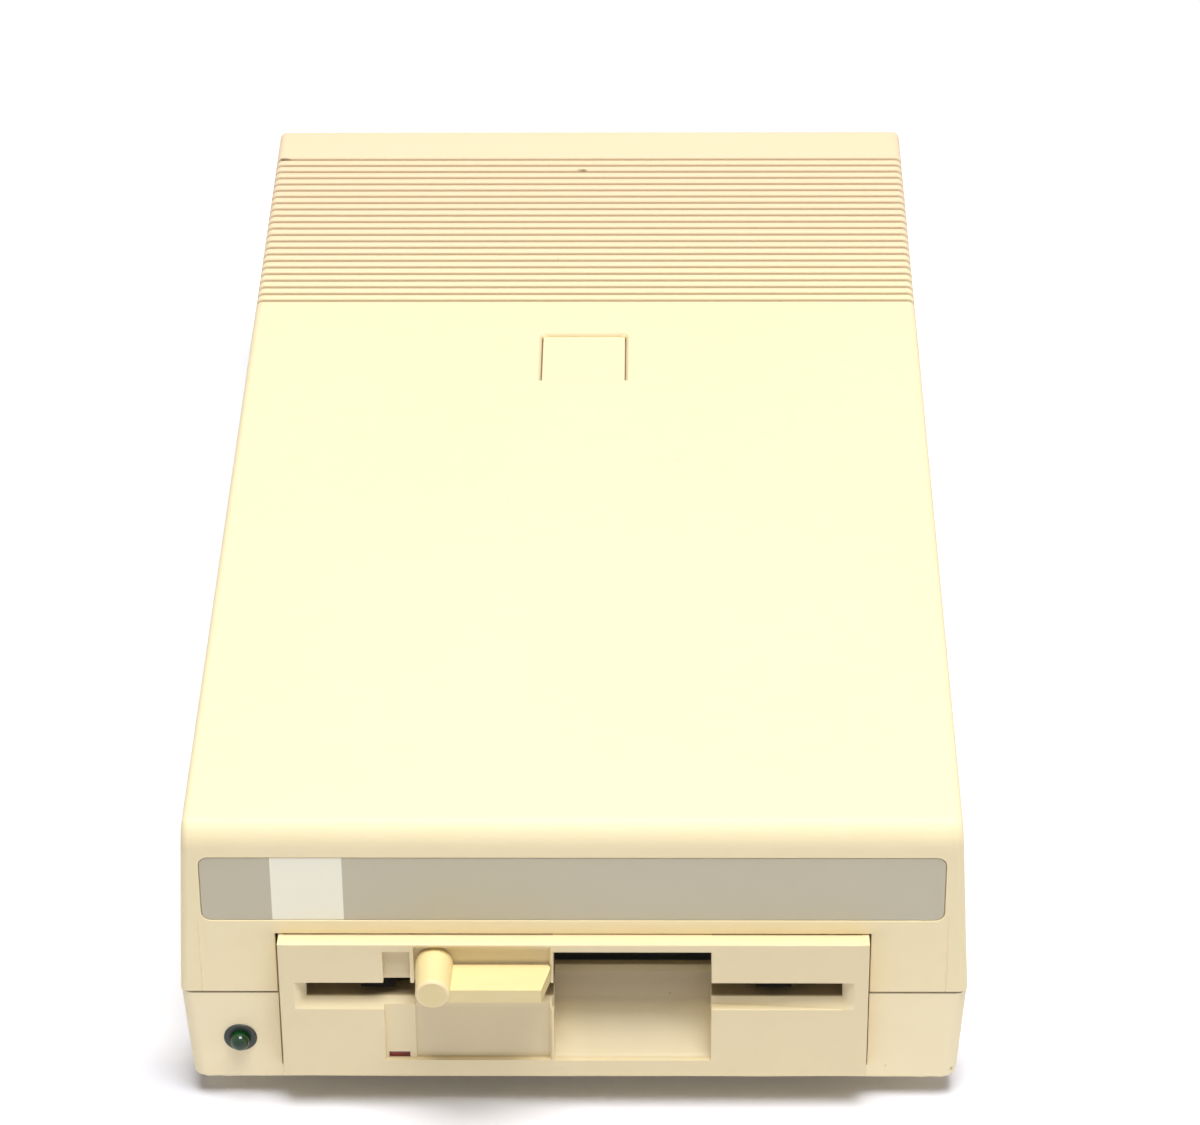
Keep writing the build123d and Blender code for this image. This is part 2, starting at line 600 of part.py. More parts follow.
# ---------------------------------------------------------------- clamp
CRANK_TRAVEL = 2 * CRANK_RADIUS * sin(radians(LEVER_TURN / 2))
FLANGE_Y = 16.0
CLAMP_PIVOT_Z = CLAMP_PLATE_Z + CLAMP_PLATE_THICK / 2
CLAMP_REACH = CLAMP_PIVOT_Y - FLANGE_Y - CLAMP_PLATE_THICK / 2
CLAMP_LIFT_ANGLE = degrees(asin(CRANK_TRAVEL / CLAMP_REACH))
CLAMP_PIN_RADIUS = 2.0
EAR_X = 45.0
STUD_RADIUS = 2.0
clamp_axis = Axis((0, CLAMP_PIVOT_Y, CLAMP_PIVOT_Z), (1, 0, 0))
plate_top = CLAMP_PLATE_Z + CLAMP_PLATE_THICK
closed_pin_z = 2 * LEVER_Z - pin_z


def lifted(shape):
    """Turn a piece of the clamp from its closed place to its open one."""
    return shape.rotate(clamp_axis, -CLAMP_LIFT_ANGLE)


# Plan of the clamp arm: a wide heel between the pivots, a waist, and a tongue that the crank pin lifts
HEEL_HALF = EAR_X + 1.0
HEEL_REAR = 160.0
HEEL_FRONT = 146.0
WAIST_HALF = 22.0
WAIST_REAR = 112.0
WAIST_FRONT = 52.0
TONGUE_LEFT = -38.0
TONGUE_RIGHT = -25.0
TONGUE_REAR = 44.0
TONGUE_CROTCH = 36.0
clamp_plan = polygon((-HEEL_HALF, HEEL_REAR), (-HEEL_HALF, HEEL_FRONT), (-WAIST_HALF - 2, WAIST_REAR),
                     (TONGUE_LEFT, TONGUE_REAR), (TONGUE_LEFT, FLANGE_Y), (TONGUE_RIGHT, FLANGE_Y),
                     (TONGUE_RIGHT, TONGUE_CROTCH), (WAIST_HALF, WAIST_FRONT), (WAIST_HALF, WAIST_REAR),
                     (HEEL_HALF, HEEL_FRONT), (HEEL_HALF, HEEL_REAR))
clamp_arm = along_z(clamp_plan, CLAMP_PLATE_Z, plate_top)

FLANGE_BELOW_PIN = 2.6
PIN_SLOT_LENGTH = 5.0
PIN_SLOT_FIT = 0.3
slot_x = (pin_x + LEVER_X + CRANK_RADIUS) / 2
pin_slot = Pos(slot_x, closed_pin_z) * SlotOverall(PIN_SLOT_LENGTH, 2 * (CRANK_PIN_RADIUS + PIN_SLOT_FIT))
clamp_arm += block(TONGUE_LEFT, TONGUE_RIGHT, FLANGE_Y, FLANGE_Y + CLAMP_PLATE_THICK,
                   closed_pin_z - FLANGE_BELOW_PIN, plate_top)
clamp_arm -= along_y(pin_slot, FLANGE_Y - OVERRUN, FLANGE_Y + CLAMP_PLATE_THICK + OVERRUN)

EAR_FRONT = 156.0
EAR_HALF_HEIGHT = 4.0
ear_rear = CLAMP_PIVOT_Y + 4.5
for side in (-1, 1):
    ear = sorted((side * EAR_X - CLAMP_PLATE_THICK / 2, side * EAR_X + CLAMP_PLATE_THICK / 2))
    clamp_arm += block(*ear, EAR_FRONT, ear_rear, CLAMP_PIVOT_Z - EAR_HALF_HEIGHT,
                       CLAMP_PIVOT_Z + EAR_HALF_HEIGHT)
clamp_arm -= bar_x(CLAMP_PIVOT_Y, CLAMP_PIVOT_Z, CLAMP_PIN_RADIUS + RUNNING_FIT, -HEEL_HALF, HEEL_HALF)
clamp_arm -= bar_z(SPINDLE_X, SPINDLE_Y, STUD_RADIUS, CLAMP_PLATE_Z - OVERRUN, plate_top + OVERRUN)

# Window over the head, so that the pad arm can rise through the clamp arm
HEAD_WINDOW_Y = 122.0
HEAD_WINDOW_LENGTH = 36.0
HEAD_WINDOW_WIDTH = 18.0
head_window = Pos(SPINDLE_X, HEAD_WINDOW_Y) * SlotOverall(HEAD_WINDOW_LENGTH, HEAD_WINDOW_WIDTH, 90)
clamp_arm -= along_z(head_window, CLAMP_PLATE_Z - OVERRUN, plate_top + OVERRUN)
save("clamp_arm", lifted(clamp_arm))

STUD_FOOT = 29.2
STUD_FOOT_RADIUS = 3.5
STUD_FOOT_THICK = 1.5
RIVET_RADIUS = STUD_RADIUS + 1.2
RIVET_CROWN_RADIUS = STUD_RADIUS + 0.6
RIVET_HEIGHT = 1.0
stud_seat = STUD_FOOT + STUD_FOOT_THICK
rivet_top = plate_top + RIVET_HEIGHT
stud = turned(SPINDLE_X, SPINDLE_Y, (0, STUD_FOOT), (STUD_FOOT_RADIUS, STUD_FOOT),
              (STUD_FOOT_RADIUS, stud_seat), (STUD_RADIUS, stud_seat), (STUD_RADIUS, plate_top),
              (RIVET_RADIUS, plate_top), (RIVET_CROWN_RADIUS, rivet_top), (0, rivet_top))
save("clamp_stud", lifted(stud))

CONE_SEAT = HUB_TOP + 0.1
CONE_NOSE = HUB_TOP - 2.0
CONE_NOSE_RADIUS = 12.0
CONE_FLANGE_RADIUS = 16.8
CONE_FLANGE_THICK = 2.0
CONE_SHOULDER = CONE_SEAT + 3.5
CONE_NECK_RADIUS = 9.0
CONE_HOLLOW_RADIUS = 5.0
CONE_HOLLOW_TOP = stud_seat + 0.3
CONE_TOP = 37.5
HUB_BORE = 14.2
CONE_CLEARANCE = 0.3
cone_bore = STUD_RADIUS + RUNNING_FIT
cone = turned(SPINDLE_X, SPINDLE_Y, (cone_bore, CONE_HOLLOW_TOP), (CONE_HOLLOW_RADIUS, CONE_HOLLOW_TOP),
              (CONE_HOLLOW_RADIUS, CONE_NOSE), (CONE_NOSE_RADIUS, CONE_NOSE),
              (HUB_BORE - CONE_CLEARANCE, CONE_SEAT), (CONE_FLANGE_RADIUS, CONE_SEAT),
              (CONE_FLANGE_RADIUS, CONE_SEAT + CONE_FLANGE_THICK), (CONE_NECK_RADIUS, CONE_SHOULDER),
              (CONE_NECK_RADIUS, CONE_TOP), (cone_bore, CONE_TOP))
save("clamp_cone", lifted(cone))

LEAF_THICK = 0.5
LEAF_HALF_WIDTH = 7.0
LEAF_FRONT = 62.0
LEAF_BEND = 76.0
LEAF_ROOT = 88.0
LEAF_REAR = 98.0
leaf_low = CONE_TOP + 0.3
leaf_high = leaf_low + LEAF_THICK
root_low = CLAMP_PLATE_Z - LEAF_THICK
leaf = polygon((LEAF_FRONT, leaf_low), (LEAF_BEND, leaf_low), (LEAF_ROOT, root_low), (LEAF_REAR, root_low),
               (LEAF_REAR, CLAMP_PLATE_Z), (LEAF_ROOT, CLAMP_PLATE_Z), (LEAF_BEND, leaf_high),
               (LEAF_FRONT, leaf_high))
clamp_spring = along_x(leaf, SPINDLE_X - LEAF_HALF_WIDTH, SPINDLE_X + LEAF_HALF_WIDTH)
clamp_spring -= bar_z(SPINDLE_X, SPINDLE_Y, RIVET_CROWN_RADIUS, leaf_low - OVERRUN, leaf_high + OVERRUN)
save("clamp_spring", lifted(clamp_spring))

LUG_INNER = EAR_X + 2.0
LUG_OUTER = LUG_INNER + 3.0
pivot_pins = []
for side in (-1, 1):
    pin_ends = sorted((side * (EAR_X - 1.5), side * LUG_OUTER))
    pivot_pins.append(bar_x(CLAMP_PIVOT_Y, CLAMP_PIVOT_Z, CLAMP_PIN_RADIUS, *pin_ends))
save("clamp_pivot_pins", *pivot_pins)

# ---------------------------------------------------------------- spindle, belt and motor
SHAFT_RADIUS = 4.0
FLYWHEEL_BOTTOM = 8.5
FLYWHEEL_TOP = 14.7
BOSS_BOTTOM = 15.2
BOSS_TOP = 26.0
BEARING_RADIUS = 9.5
BEARING_HEIGHT = 4.0
HUB_RADIUS = 17.0
HUB_FLOOR = HUB_TOP - 2.4
HUB_BOTTOM = HUB_FLOOR - 1.2
MOTOR_X = -46.0
MOTOR_Y = 185.0
MOTOR_RADIUS = 13.5
MOTOR_TOP = 44.0
PULLEY_RADIUS = 7.0
BELT_THICK = 1.0

HUB_BORE_TAPER = 0.8
hub = turned(SPINDLE_X, SPINDLE_Y, (SHAFT_RADIUS, HUB_BOTTOM), (HUB_RADIUS, HUB_BOTTOM),
             (HUB_RADIUS, HUB_TOP), (HUB_BORE, HUB_TOP), (HUB_BORE - HUB_BORE_TAPER, HUB_FLOOR),
             (SHAFT_RADIUS, HUB_FLOOR))
save("spindle_hub", hub)
save("spindle_shaft", bar_z(SPINDLE_X, SPINDLE_Y, SHAFT_RADIUS, FLYWHEEL_BOTTOM - 1, HUB_FLOOR))

bearings = [turned(SPINDLE_X, SPINDLE_Y, (SHAFT_RADIUS + RUNNING_FIT, z), (BEARING_RADIUS, z),
                   (BEARING_RADIUS, z + BEARING_HEIGHT), (SHAFT_RADIUS + RUNNING_FIT, z + BEARING_HEIGHT))
            for z in (BOSS_BOTTOM, BOSS_TOP - BEARING_HEIGHT)]
save("spindle_bearings", *bearings)

# The flywheel's web is thinner than its hub and rim, from which it falls away by a short slope
WEB_SUNK = 2.0
FLYWHEEL_HUB_RADIUS = 10.0
FLYWHEEL_RIM_RADIUS = FLYWHEEL_RADIUS - 6.0
LIGHTENING_HOLES = 4
HOLE_RADIUS = 7.0
HOLE_CIRCLE = 26.0
web_low = FLYWHEEL_BOTTOM + WEB_SUNK
web_high = FLYWHEEL_TOP - WEB_SUNK
web_inner = FLYWHEEL_HUB_RADIUS + WEB_SUNK
web_outer = FLYWHEEL_RIM_RADIUS - WEB_SUNK
flywheel = turned(SPINDLE_X, SPINDLE_Y, (SHAFT_RADIUS, FLYWHEEL_BOTTOM),
                  (FLYWHEEL_HUB_RADIUS, FLYWHEEL_BOTTOM), (web_inner, web_low), (web_outer, web_low),
                  (FLYWHEEL_RIM_RADIUS, FLYWHEEL_BOTTOM),
                  (FLYWHEEL_RADIUS, FLYWHEEL_BOTTOM), (FLYWHEEL_RADIUS, FLYWHEEL_TOP),
                  (FLYWHEEL_RIM_RADIUS, FLYWHEEL_TOP), (web_outer, web_high), (web_inner, web_high),
                  (FLYWHEEL_HUB_RADIUS, FLYWHEEL_TOP), (SHAFT_RADIUS, FLYWHEEL_TOP))
for n in range(LIGHTENING_HOLES):
    hole = bar_z(HOLE_CIRCLE, 0, HOLE_RADIUS, 0, FLYWHEEL_TOP)
    flywheel -= Pos(SPINDLE_X, SPINDLE_Y, 0) * Rot(0, 0, (n + 0.5) * 360 / LIGHTENING_HOLES) * hole
save("flywheel", flywheel)


def belt_loop(grow):
    """Face inside a belt that stands off both pulleys by grow."""
    return belted((SPINDLE_X, SPINDLE_Y, FLYWHEEL_RADIUS + grow), (MOTOR_X, MOTOR_Y, PULLEY_RADIUS + grow))


BELT_CLEARANCE = 0.3
BELT_INSET = 0.8
belt = belt_loop(BELT_CLEARANCE + BELT_THICK) - belt_loop(BELT_CLEARANCE)
save("drive_belt", along_z(belt, FLYWHEEL_BOTTOM + BELT_INSET, FLYWHEEL_TOP - BELT_INSET))

MOTOR_SHAFT_RADIUS = 1.5
MOTOR_SHAFT_TOP = MOTOR_TOP - 9.0
MOTOR_CHAMFER = 1.0
PULLEY_FLANGE = 1.0
PULLEY_LIP = 0.5
motor_bore = MOTOR_SHAFT_RADIUS + RUNNING_FIT
motor = turned(MOTOR_X, MOTOR_Y, (motor_bore, DECK_TOP), (MOTOR_RADIUS, DECK_TOP),
               (MOTOR_RADIUS, MOTOR_TOP - MOTOR_CHAMFER), (MOTOR_RADIUS - MOTOR_CHAMFER, MOTOR_TOP),
               (0, MOTOR_TOP), (0, MOTOR_SHAFT_TOP + 1), (motor_bore, MOTOR_SHAFT_TOP + 1))
save("spindle_motor", motor)
pulley = turned(MOTOR_X, MOTOR_Y, (0, FLYWHEEL_BOTTOM), (PULLEY_RADIUS + PULLEY_FLANGE, FLYWHEEL_BOTTOM),
                (PULLEY_RADIUS, FLYWHEEL_BOTTOM + PULLEY_LIP), (PULLEY_RADIUS, FLYWHEEL_TOP - PULLEY_LIP),
                (PULLEY_RADIUS + PULLEY_FLANGE, FLYWHEEL_TOP), (MOTOR_SHAFT_RADIUS, FLYWHEEL_TOP),
                (MOTOR_SHAFT_RADIUS, MOTOR_SHAFT_TOP), (0, MOTOR_SHAFT_TOP))
save("motor_pulley", pulley)

# ---------------------------------------------------------------- head positioner
WINDOW_LEFT = -22.0
WINDOW_RIGHT = 34.0
WINDOW_FRONT = 93.0
WINDOW_REAR = 152.0
ROD_X = 15.0
ROD_RADIUS = 2.0
ROD_FRONT = 88.0
ROD_REAR = 157.0
HEAD_Y = SPINDLE_Y + TRACK_ZERO_RADIUS
CARRIAGE_FRONT = 114.0
CARRIAGE_REAR = 146.0
CARRIAGE_BOTTOM = 17.0
CARRIAGE_TOP = 24.5
HEAD_TOP = 30.8
SCREW_X = 26.0
LEAD_RADIUS = 3.0
PAD_PIVOT_Y = 142.5
PAD_PIVOT_Z = 34.5
PAD_PIN_RADIUS = 1.5
PAD_ARM_HALF = 6.0
PAD_LIFT_ANGLE = 12.0
PAD_RADIUS = 3.5
pad_axis = Axis((0, PAD_PIVOT_Y, PAD_PIVOT_Z), (1, 0, 0))

rod_x = [SPINDLE_X - ROD_X, SPINDLE_X + ROD_X]
save("guide_rods", *[bar_y(x, RAIL_Z, ROD_RADIUS, ROD_FRONT, ROD_REAR) for x in rod_x])

CLIP_HALF_WIDTH = 5.0
CLIP_LENGTH = 4.0
CLIP_ROOF = 1.0
clip_top = RAIL_Z + ROD_RADIUS + CLIP_ROOF
clips = []
for x in rod_x:
    for y in (ROD_FRONT + 0.5, WINDOW_REAR + 0.5):
        clip = block(x - CLIP_HALF_WIDTH, x + CLIP_HALF_WIDTH, y, y + CLIP_LENGTH, DECK_TOP, clip_top)
        clips.append(clip - bar_y(x, RAIL_Z, ROD_RADIUS, y - OVERRUN, y + CLIP_LENGTH + OVERRUN))
save("rod_clips", *clips)

# The carriage runs on both rods; a block at its right side is threaded on the lead screw
CARRIAGE_HALF_WIDTH = 20.0
NUT_FRONT = 120.0
NUT_REAR = 130.0
NUT_RIGHT = SCREW_X + 5.5
LUG_GAP = 0.5
LUG_WALL = 2.5
LUG_RISE = 3.0
PIN_RUN = 30.0
carriage_right = SPINDLE_X + CARRIAGE_HALF_WIDTH
carriage = block(SPINDLE_X - CARRIAGE_HALF_WIDTH, carriage_right, CARRIAGE_FRONT, CARRIAGE_REAR,
                 CARRIAGE_BOTTOM, CARRIAGE_TOP)
carriage += block(carriage_right, NUT_RIGHT, NUT_FRONT, NUT_REAR, CARRIAGE_BOTTOM - 1, CARRIAGE_TOP)
lug_inside = PAD_ARM_HALF + LUG_GAP
lug_outside = lug_inside + LUG_WALL
for side in (-1, 1):
    lug = sorted((SPINDLE_X + side * lug_inside, SPINDLE_X + side * lug_outside))
    carriage += block(*lug, PAD_PIVOT_Y - LUG_RISE, CARRIAGE_REAR, CARRIAGE_TOP, PAD_PIVOT_Z + LUG_RISE)
for x in rod_x:
    carriage -= bar_y(x, RAIL_Z, ROD_RADIUS + RUNNING_FIT, CARRIAGE_FRONT - OVERRUN, CARRIAGE_REAR + OVERRUN)
carriage -= bar_y(SCREW_X, RAIL_Z, LEAD_RADIUS + RUNNING_FIT, CARRIAGE_FRONT, CARRIAGE_REAR)
carriage -= bar_x(PAD_PIVOT_Y, PAD_PIVOT_Z, PAD_PIN_RADIUS, -PIN_RUN, PIN_RUN)
save("head_carriage", carriage)

HEAD_BLOCK_X = 4.0
HEAD_BLOCK_Y = 4.2
HEAD_RADIUS = 3.2
HEAD_PROUD = 0.6
read_head = block(SPINDLE_X - HEAD_BLOCK_X, SPINDLE_X + HEAD_BLOCK_X, HEAD_Y - HEAD_BLOCK_Y,
                  HEAD_Y + HEAD_BLOCK_Y, CARRIAGE_TOP, HEAD_TOP - HEAD_PROUD)
read_head += bar_z(SPINDLE_X, HEAD_Y, HEAD_RADIUS, CARRIAGE_TOP, HEAD_TOP)
save("read_head", read_head)


def raised(shape):
    """Turn a piece of the pad arm from its loaded place to its raised one."""
    return shape.rotate(pad_axis, -PAD_LIFT_ANGLE)


# The arm is deeper over its pivot than at its free end, and has a cup for the pad on its underside
PAD_CUP_WALL = 0.8
PAD_ARM_DROP = 2.0
PAD_ARM_FRONT = HEAD_Y - 6.0
PAD_ARM_REAR = PAD_PIVOT_Y + 2.0
PAD_HEEL_HALF = 2.2
PAD_TIP_BELOW = 0.8
PAD_TIP_ABOVE = 1.0
PAD_SEAT = PAD_PIVOT_Z - 1.0
pad_side = polygon((PAD_ARM_FRONT, PAD_PIVOT_Z - PAD_TIP_BELOW), (PAD_ARM_REAR, PAD_PIVOT_Z - PAD_HEEL_HALF),
                   (PAD_ARM_REAR, PAD_PIVOT_Z + PAD_HEEL_HALF), (PAD_ARM_FRONT, PAD_PIVOT_Z + PAD_TIP_ABOVE))
pad_arm = along_x(pad_side, SPINDLE_X - PAD_ARM_HALF, SPINDLE_X + PAD_ARM_HALF)
pad_arm += bar_z(SPINDLE_X, HEAD_Y, PAD_RADIUS + PAD_CUP_WALL, PAD_PIVOT_Z - PAD_ARM_DROP, PAD_PIVOT_Z)
pad_arm -= bar_z(SPINDLE_X, HEAD_Y, PAD_RADIUS, PAD_PIVOT_Z - 2 * PAD_ARM_DROP, PAD_SEAT)
pad_arm -= bar_x(PAD_PIVOT_Y, PAD_PIVOT_Z, PAD_PIN_RADIUS + RUNNING_FIT, -PIN_RUN, PIN_RUN)
save("pad_arm", raised(pad_arm))
save("pressure_pad", raised(bar_z(SPINDLE_X, HEAD_Y, PAD_RADIUS, HEAD_TOP + 0.5, PAD_SEAT)))
save("pad_arm_pin", bar_x(PAD_PIVOT_Y, PAD_PIVOT_Z, PAD_PIN_RADIUS, SPINDLE_X - lug_outside,
                          SPINDLE_X + lug_outside))

STEPPER_RADIUS = 14.0
STEPPER_FRONT = 158.0
STEPPER_REAR = 190.0
STEPPER_FLANGE_HALF = 19.0
STEPPER_FLANGE_RISE = 13.0
SCREW_END = 166.0
SUPPORT_THICK = 1.5
SUPPORT_HALF_WIDTH = 7.0
SUPPORT_RISE = 5.0
thread_bore = LEAD_RADIUS + RUNNING_FIT
stepper = block(SCREW_X - STEPPER_FLANGE_HALF, SCREW_X + STEPPER_FLANGE_HALF, STEPPER_FRONT,
                STEPPER_FRONT + SUPPORT_THICK, RAIL_Z - STEPPER_FLANGE_RISE, RAIL_Z + STEPPER_FLANGE_RISE)
stepper += bar_y(SCREW_X, RAIL_Z, STEPPER_RADIUS, STEPPER_FRONT, STEPPER_REAR)
stepper -= bar_y(SCREW_X, RAIL_Z, thread_bore, STEPPER_FRONT - OVERRUN, SCREW_END + OVERRUN)
save("stepper_motor", stepper)
save("lead_screw", bar_y(SCREW_X, RAIL_Z, LEAD_RADIUS, WINDOW_FRONT, SCREW_END))
screw_bearing = block(SCREW_X - SUPPORT_HALF_WIDTH, SCREW_X + SUPPORT_HALF_WIDTH, WINDOW_FRONT,
                      WINDOW_FRONT + SUPPORT_THICK, RAIL_Z - SUPPORT_RISE, RAIL_Z + SUPPORT_RISE)
screw_bearing -= bar_y(SCREW_X, RAIL_Z, thread_bore, WINDOW_FRONT - OVERRUN, WINDOW_FRONT + 2 * SUPPORT_THICK)
save("lead_screw_bearing", screw_bearing)

# ---------------------------------------------------------------- cast chassis of the mechanism
DECK_FRONT = 18.0
CROSS_THICK = 4.0
BOSS_WALL = 2.5
SHAFT_CLEARANCE = 2.0
PIVOT_LUG_DEPTH = 4.0
PIVOT_LUG_TOP = CLAMP_PIVOT_Z + 5.0
STEPPER_ROOM = 20.0
MOTOR_HOLE_RADIUS = 4.0
rail_inner_left = RAIL_LEFT + RAIL_THICK
below_deck = DECK_BOTTOM - OVERRUN
above_deck = DECK_TOP + OVERRUN
chassis = block(rail_inner_left, RAIL_RIGHT, DECK_FRONT, MECH_REAR, DECK_BOTTOM, DECK_TOP)
for x in (RAIL_LEFT, RAIL_RIGHT):
    chassis += block(x, x + RAIL_THICK, MECH_FRONT, MECH_REAR, RAIL_BOTTOM, RAIL_TOP)
chassis += block(rail_inner_left, RAIL_RIGHT, DECK_FRONT - CROSS_THICK, DECK_FRONT,
                 BEZEL_BOTTOM + 3, DECK_TOP)
chassis += block(rail_inner_left, RAIL_RIGHT, MECH_REAR - CROSS_THICK, MECH_REAR, RAIL_BOTTOM, DECK_TOP)
chassis += bar_z(SPINDLE_X, SPINDLE_Y, BEARING_RADIUS + BOSS_WALL, BOSS_BOTTOM, BOSS_TOP)
chassis -= bar_z(SPINDLE_X, SPINDLE_Y, BEARING_RADIUS, BOSS_BOTTOM - OVERRUN, BOSS_BOTTOM + BEARING_HEIGHT)
chassis -= bar_z(SPINDLE_X, SPINDLE_Y, BEARING_RADIUS, BOSS_TOP - BEARING_HEIGHT, BOSS_TOP + OVERRUN)
chassis -= bar_z(SPINDLE_X, SPINDLE_Y, SHAFT_RADIUS + SHAFT_CLEARANCE, BOSS_BOTTOM, BOSS_TOP)
for side in (-1, 1):
    lug = sorted((side * LUG_INNER, side * LUG_OUTER))
    chassis += block(*lug, CLAMP_PIVOT_Y - PIVOT_LUG_DEPTH, CLAMP_PIVOT_Y + PIVOT_LUG_DEPTH, DECK_TOP - 1,
                     PIVOT_LUG_TOP)
chassis -= bar_x(CLAMP_PIVOT_Y, CLAMP_PIVOT_Z, CLAMP_PIN_RADIUS, -LUG_OUTER - OVERRUN, LUG_OUTER + OVERRUN)
chassis -= block(WINDOW_LEFT, WINDOW_RIGHT, WINDOW_FRONT, WINDOW_REAR, below_deck, above_deck)
chassis -= block(SCREW_X - STEPPER_ROOM, SCREW_X + STEPPER_ROOM, STEPPER_FRONT, STEPPER_REAR + 2,
                 below_deck, above_deck)
for x in rod_x:
    chassis -= bar_y(x, RAIL_Z, ROD_RADIUS, ROD_FRONT, ROD_REAR)
chassis -= bar_y(SCREW_X, RAIL_Z, LEAD_RADIUS + 0.3, WINDOW_REAR - OVERRUN, STEPPER_FRONT + OVERRUN)
chassis -= bar_z(MOTOR_X, MOTOR_Y, MOTOR_HOLE_RADIUS, below_deck, above_deck)
save("mech_chassis", chassis)

GUIDE_FRONT = 8.0
GUIDE_REAR = 130.0
GUIDE_TOP = 37.0
GUIDE_INNER_LEFT = -63.0
GUIDE_INNER_RIGHT = 63.8
channel_end = GUIDE_REAR - 2
left_guide = block(rail_inner_left, GUIDE_INNER_LEFT, GUIDE_FRONT, GUIDE_REAR, DECK_TOP, GUIDE_TOP)
left_guide -= block(SLOT_LEFT, 0, GUIDE_FRONT - OVERRUN, channel_end, SLOT_BOTTOM, SLOT_TOP)
right_guide = block(GUIDE_INNER_RIGHT, RAIL_RIGHT, GUIDE_FRONT, GUIDE_REAR, DECK_TOP, GUIDE_TOP)
right_guide -= block(0, SLOT_RIGHT, GUIDE_FRONT - OVERRUN, channel_end, SLOT_BOTTOM, SLOT_TOP)
save("disk_guides", left_guide, right_guide)

# One sensor watches the index hole of the disk, the other the write-protect notch of the jacket
SENSOR_TOP = 28.0
index_sensor = block(14, 22, 42, 52, DECK_TOP, SENSOR_TOP)
write_protect = block(-62, -54, 96, 108, DECK_TOP, SENSOR_TOP)
save("disk_sensors", index_sensor, write_protect)

# ---------------------------------------------------------------- sheet-steel frame and main board
FRAME_HALF = 80.0
FRAME_FRONT = 30.0
FRAME_REAR = 272.0
LIP = 5.0
frame_top = FRAME_DECK_Z + SHEET
frame_profile = polygon((-FRAME_HALF, WALL), (-FRAME_HALF, frame_top), (FRAME_HALF, frame_top),
                        (FRAME_HALF, WALL), (FRAME_HALF - LIP, WALL), (FRAME_HALF - LIP, WALL + SHEET),
                        (FRAME_HALF - SHEET, WALL + SHEET), (FRAME_HALF - SHEET, FRAME_DECK_Z),
                        (SHEET - FRAME_HALF, FRAME_DECK_Z), (SHEET - FRAME_HALF, WALL + SHEET),
                        (LIP - FRAME_HALF, WALL + SHEET), (LIP - FRAME_HALF, WALL))
frame = along_y(frame_profile, FRAME_FRONT, FRAME_REAR)
SIDE_SLOT_Z = 26.0
side_slot = SlotOverall(56, 22)
deck_window = RectangleRounded(110, 40, 6)
for y in (75.0, 150.0, 225.0):
    frame -= along_x(Pos(y, SIDE_SLOT_Z) * side_slot, -FRAME_HALF - OVERRUN, FRAME_HALF + OVERRUN)
    frame -= along_z(Pos(0, y) * deck_window, FRAME_DECK_Z - OVERRUN, frame_top + OVERRUN)
lip_top = WALL + SHEET
frame_screws = []
for x, y in frame_screw_places:
    frame -= bar_z(x, y, FRAME_SCREW_RADIUS + 0.2, WALL - OVERRUN, lip_top + OVERRUN)
    head = bar_z(x, y, FRAME_HEAD_RADIUS, lip_top, lip_top + FRAME_HEAD_HEIGHT)
    shank = bar_z(x, y, FRAME_SCREW_RADIUS, FRAME_SCREW_TIP, lip_top + FRAME_HEAD_HEIGHT / 2)
    frame_screws.append(head + shank)
save("chassis_frame", frame)
save("chassis_screws", *frame_screws)

BOARD_HALF = 76.0
BOARD_FRONT = 34.0
BOARD_REAR = 268.0
STANDOFF_RADIUS = 3.0
BOARD_HOLE_RADIUS = 1.6
board_top = BOARD_Z + BOARD_THICK
standoff_places = [(x, y) for x in (-70.0, 70.0) for y in (42.0, 112.0, 188.0, 260.0)]
board = block(-BOARD_HALF, BOARD_HALF, BOARD_FRONT, BOARD_REAR, BOARD_Z, board_top)
for x, y in standoff_places:
    board -= bar_z(x, y, BOARD_HOLE_RADIUS, BOARD_Z - OVERRUN, board_top + OVERRUN)
save("main_board", board)
save("board_standoffs", *[bar_z(x, y, STANDOFF_RADIUS, frame_top, BOARD_Z) for x, y in standoff_places])


def on_board(x, y, half_x, half_y, height):
    """Block that stands on the board, centred on x and y."""
    return block(x - half_x, x + half_x, y - half_y, y + half_y, board_top, board_top + height)


wide_chips = [on_board(-40.0, y, 26.0, 7.0, 4.0) for y in (80.0, 110.0, 140.0, 170.0)]
small_chips = [on_board(x, y, 10.0, 3.3, 3.6)
               for x in (10.0, 36.0) for y in (70.0, 90.0, 110.0, 130.0, 150.0)]
save("logic_chips", *wide_chips, *small_chips)

large_capacitors = [bar_z(x, 240, 9, board_top, board_top + 17) for x in (-52.0, -28.0)]
small_capacitors = [bar_z(x, 205, 5, board_top, board_top + 12) for x in (-60.0, -44.0, 58.0)]
save("smoothing_capacitors", *large_capacitors, *small_capacitors)

# Extruded heat sinks: a foot, two outer fins and two shorter inner ones
SINK_WIDTH = 24.0
SINK_HEIGHT = 15.0
SINK_INNER_HEIGHT = 13.0
SINK_WALL = 1.5
sink_profile = Pos(SINK_WIDTH / 2, SINK_WALL / 2) * Rectangle(SINK_WIDTH, SINK_WALL)
for middle, height in ((0.75, SINK_HEIGHT), (9.75, SINK_INNER_HEIGHT), (14.25, SINK_INNER_HEIGHT),
                       (SINK_WIDTH - 0.75, SINK_HEIGHT)):
    sink_profile += Pos(middle, height / 2) * Rectangle(SINK_WALL, height)
save("heat_sinks", *[along_y(Pos(x, board_top) * sink_profile, 222, 256) for x in (0.0, 34.0)])

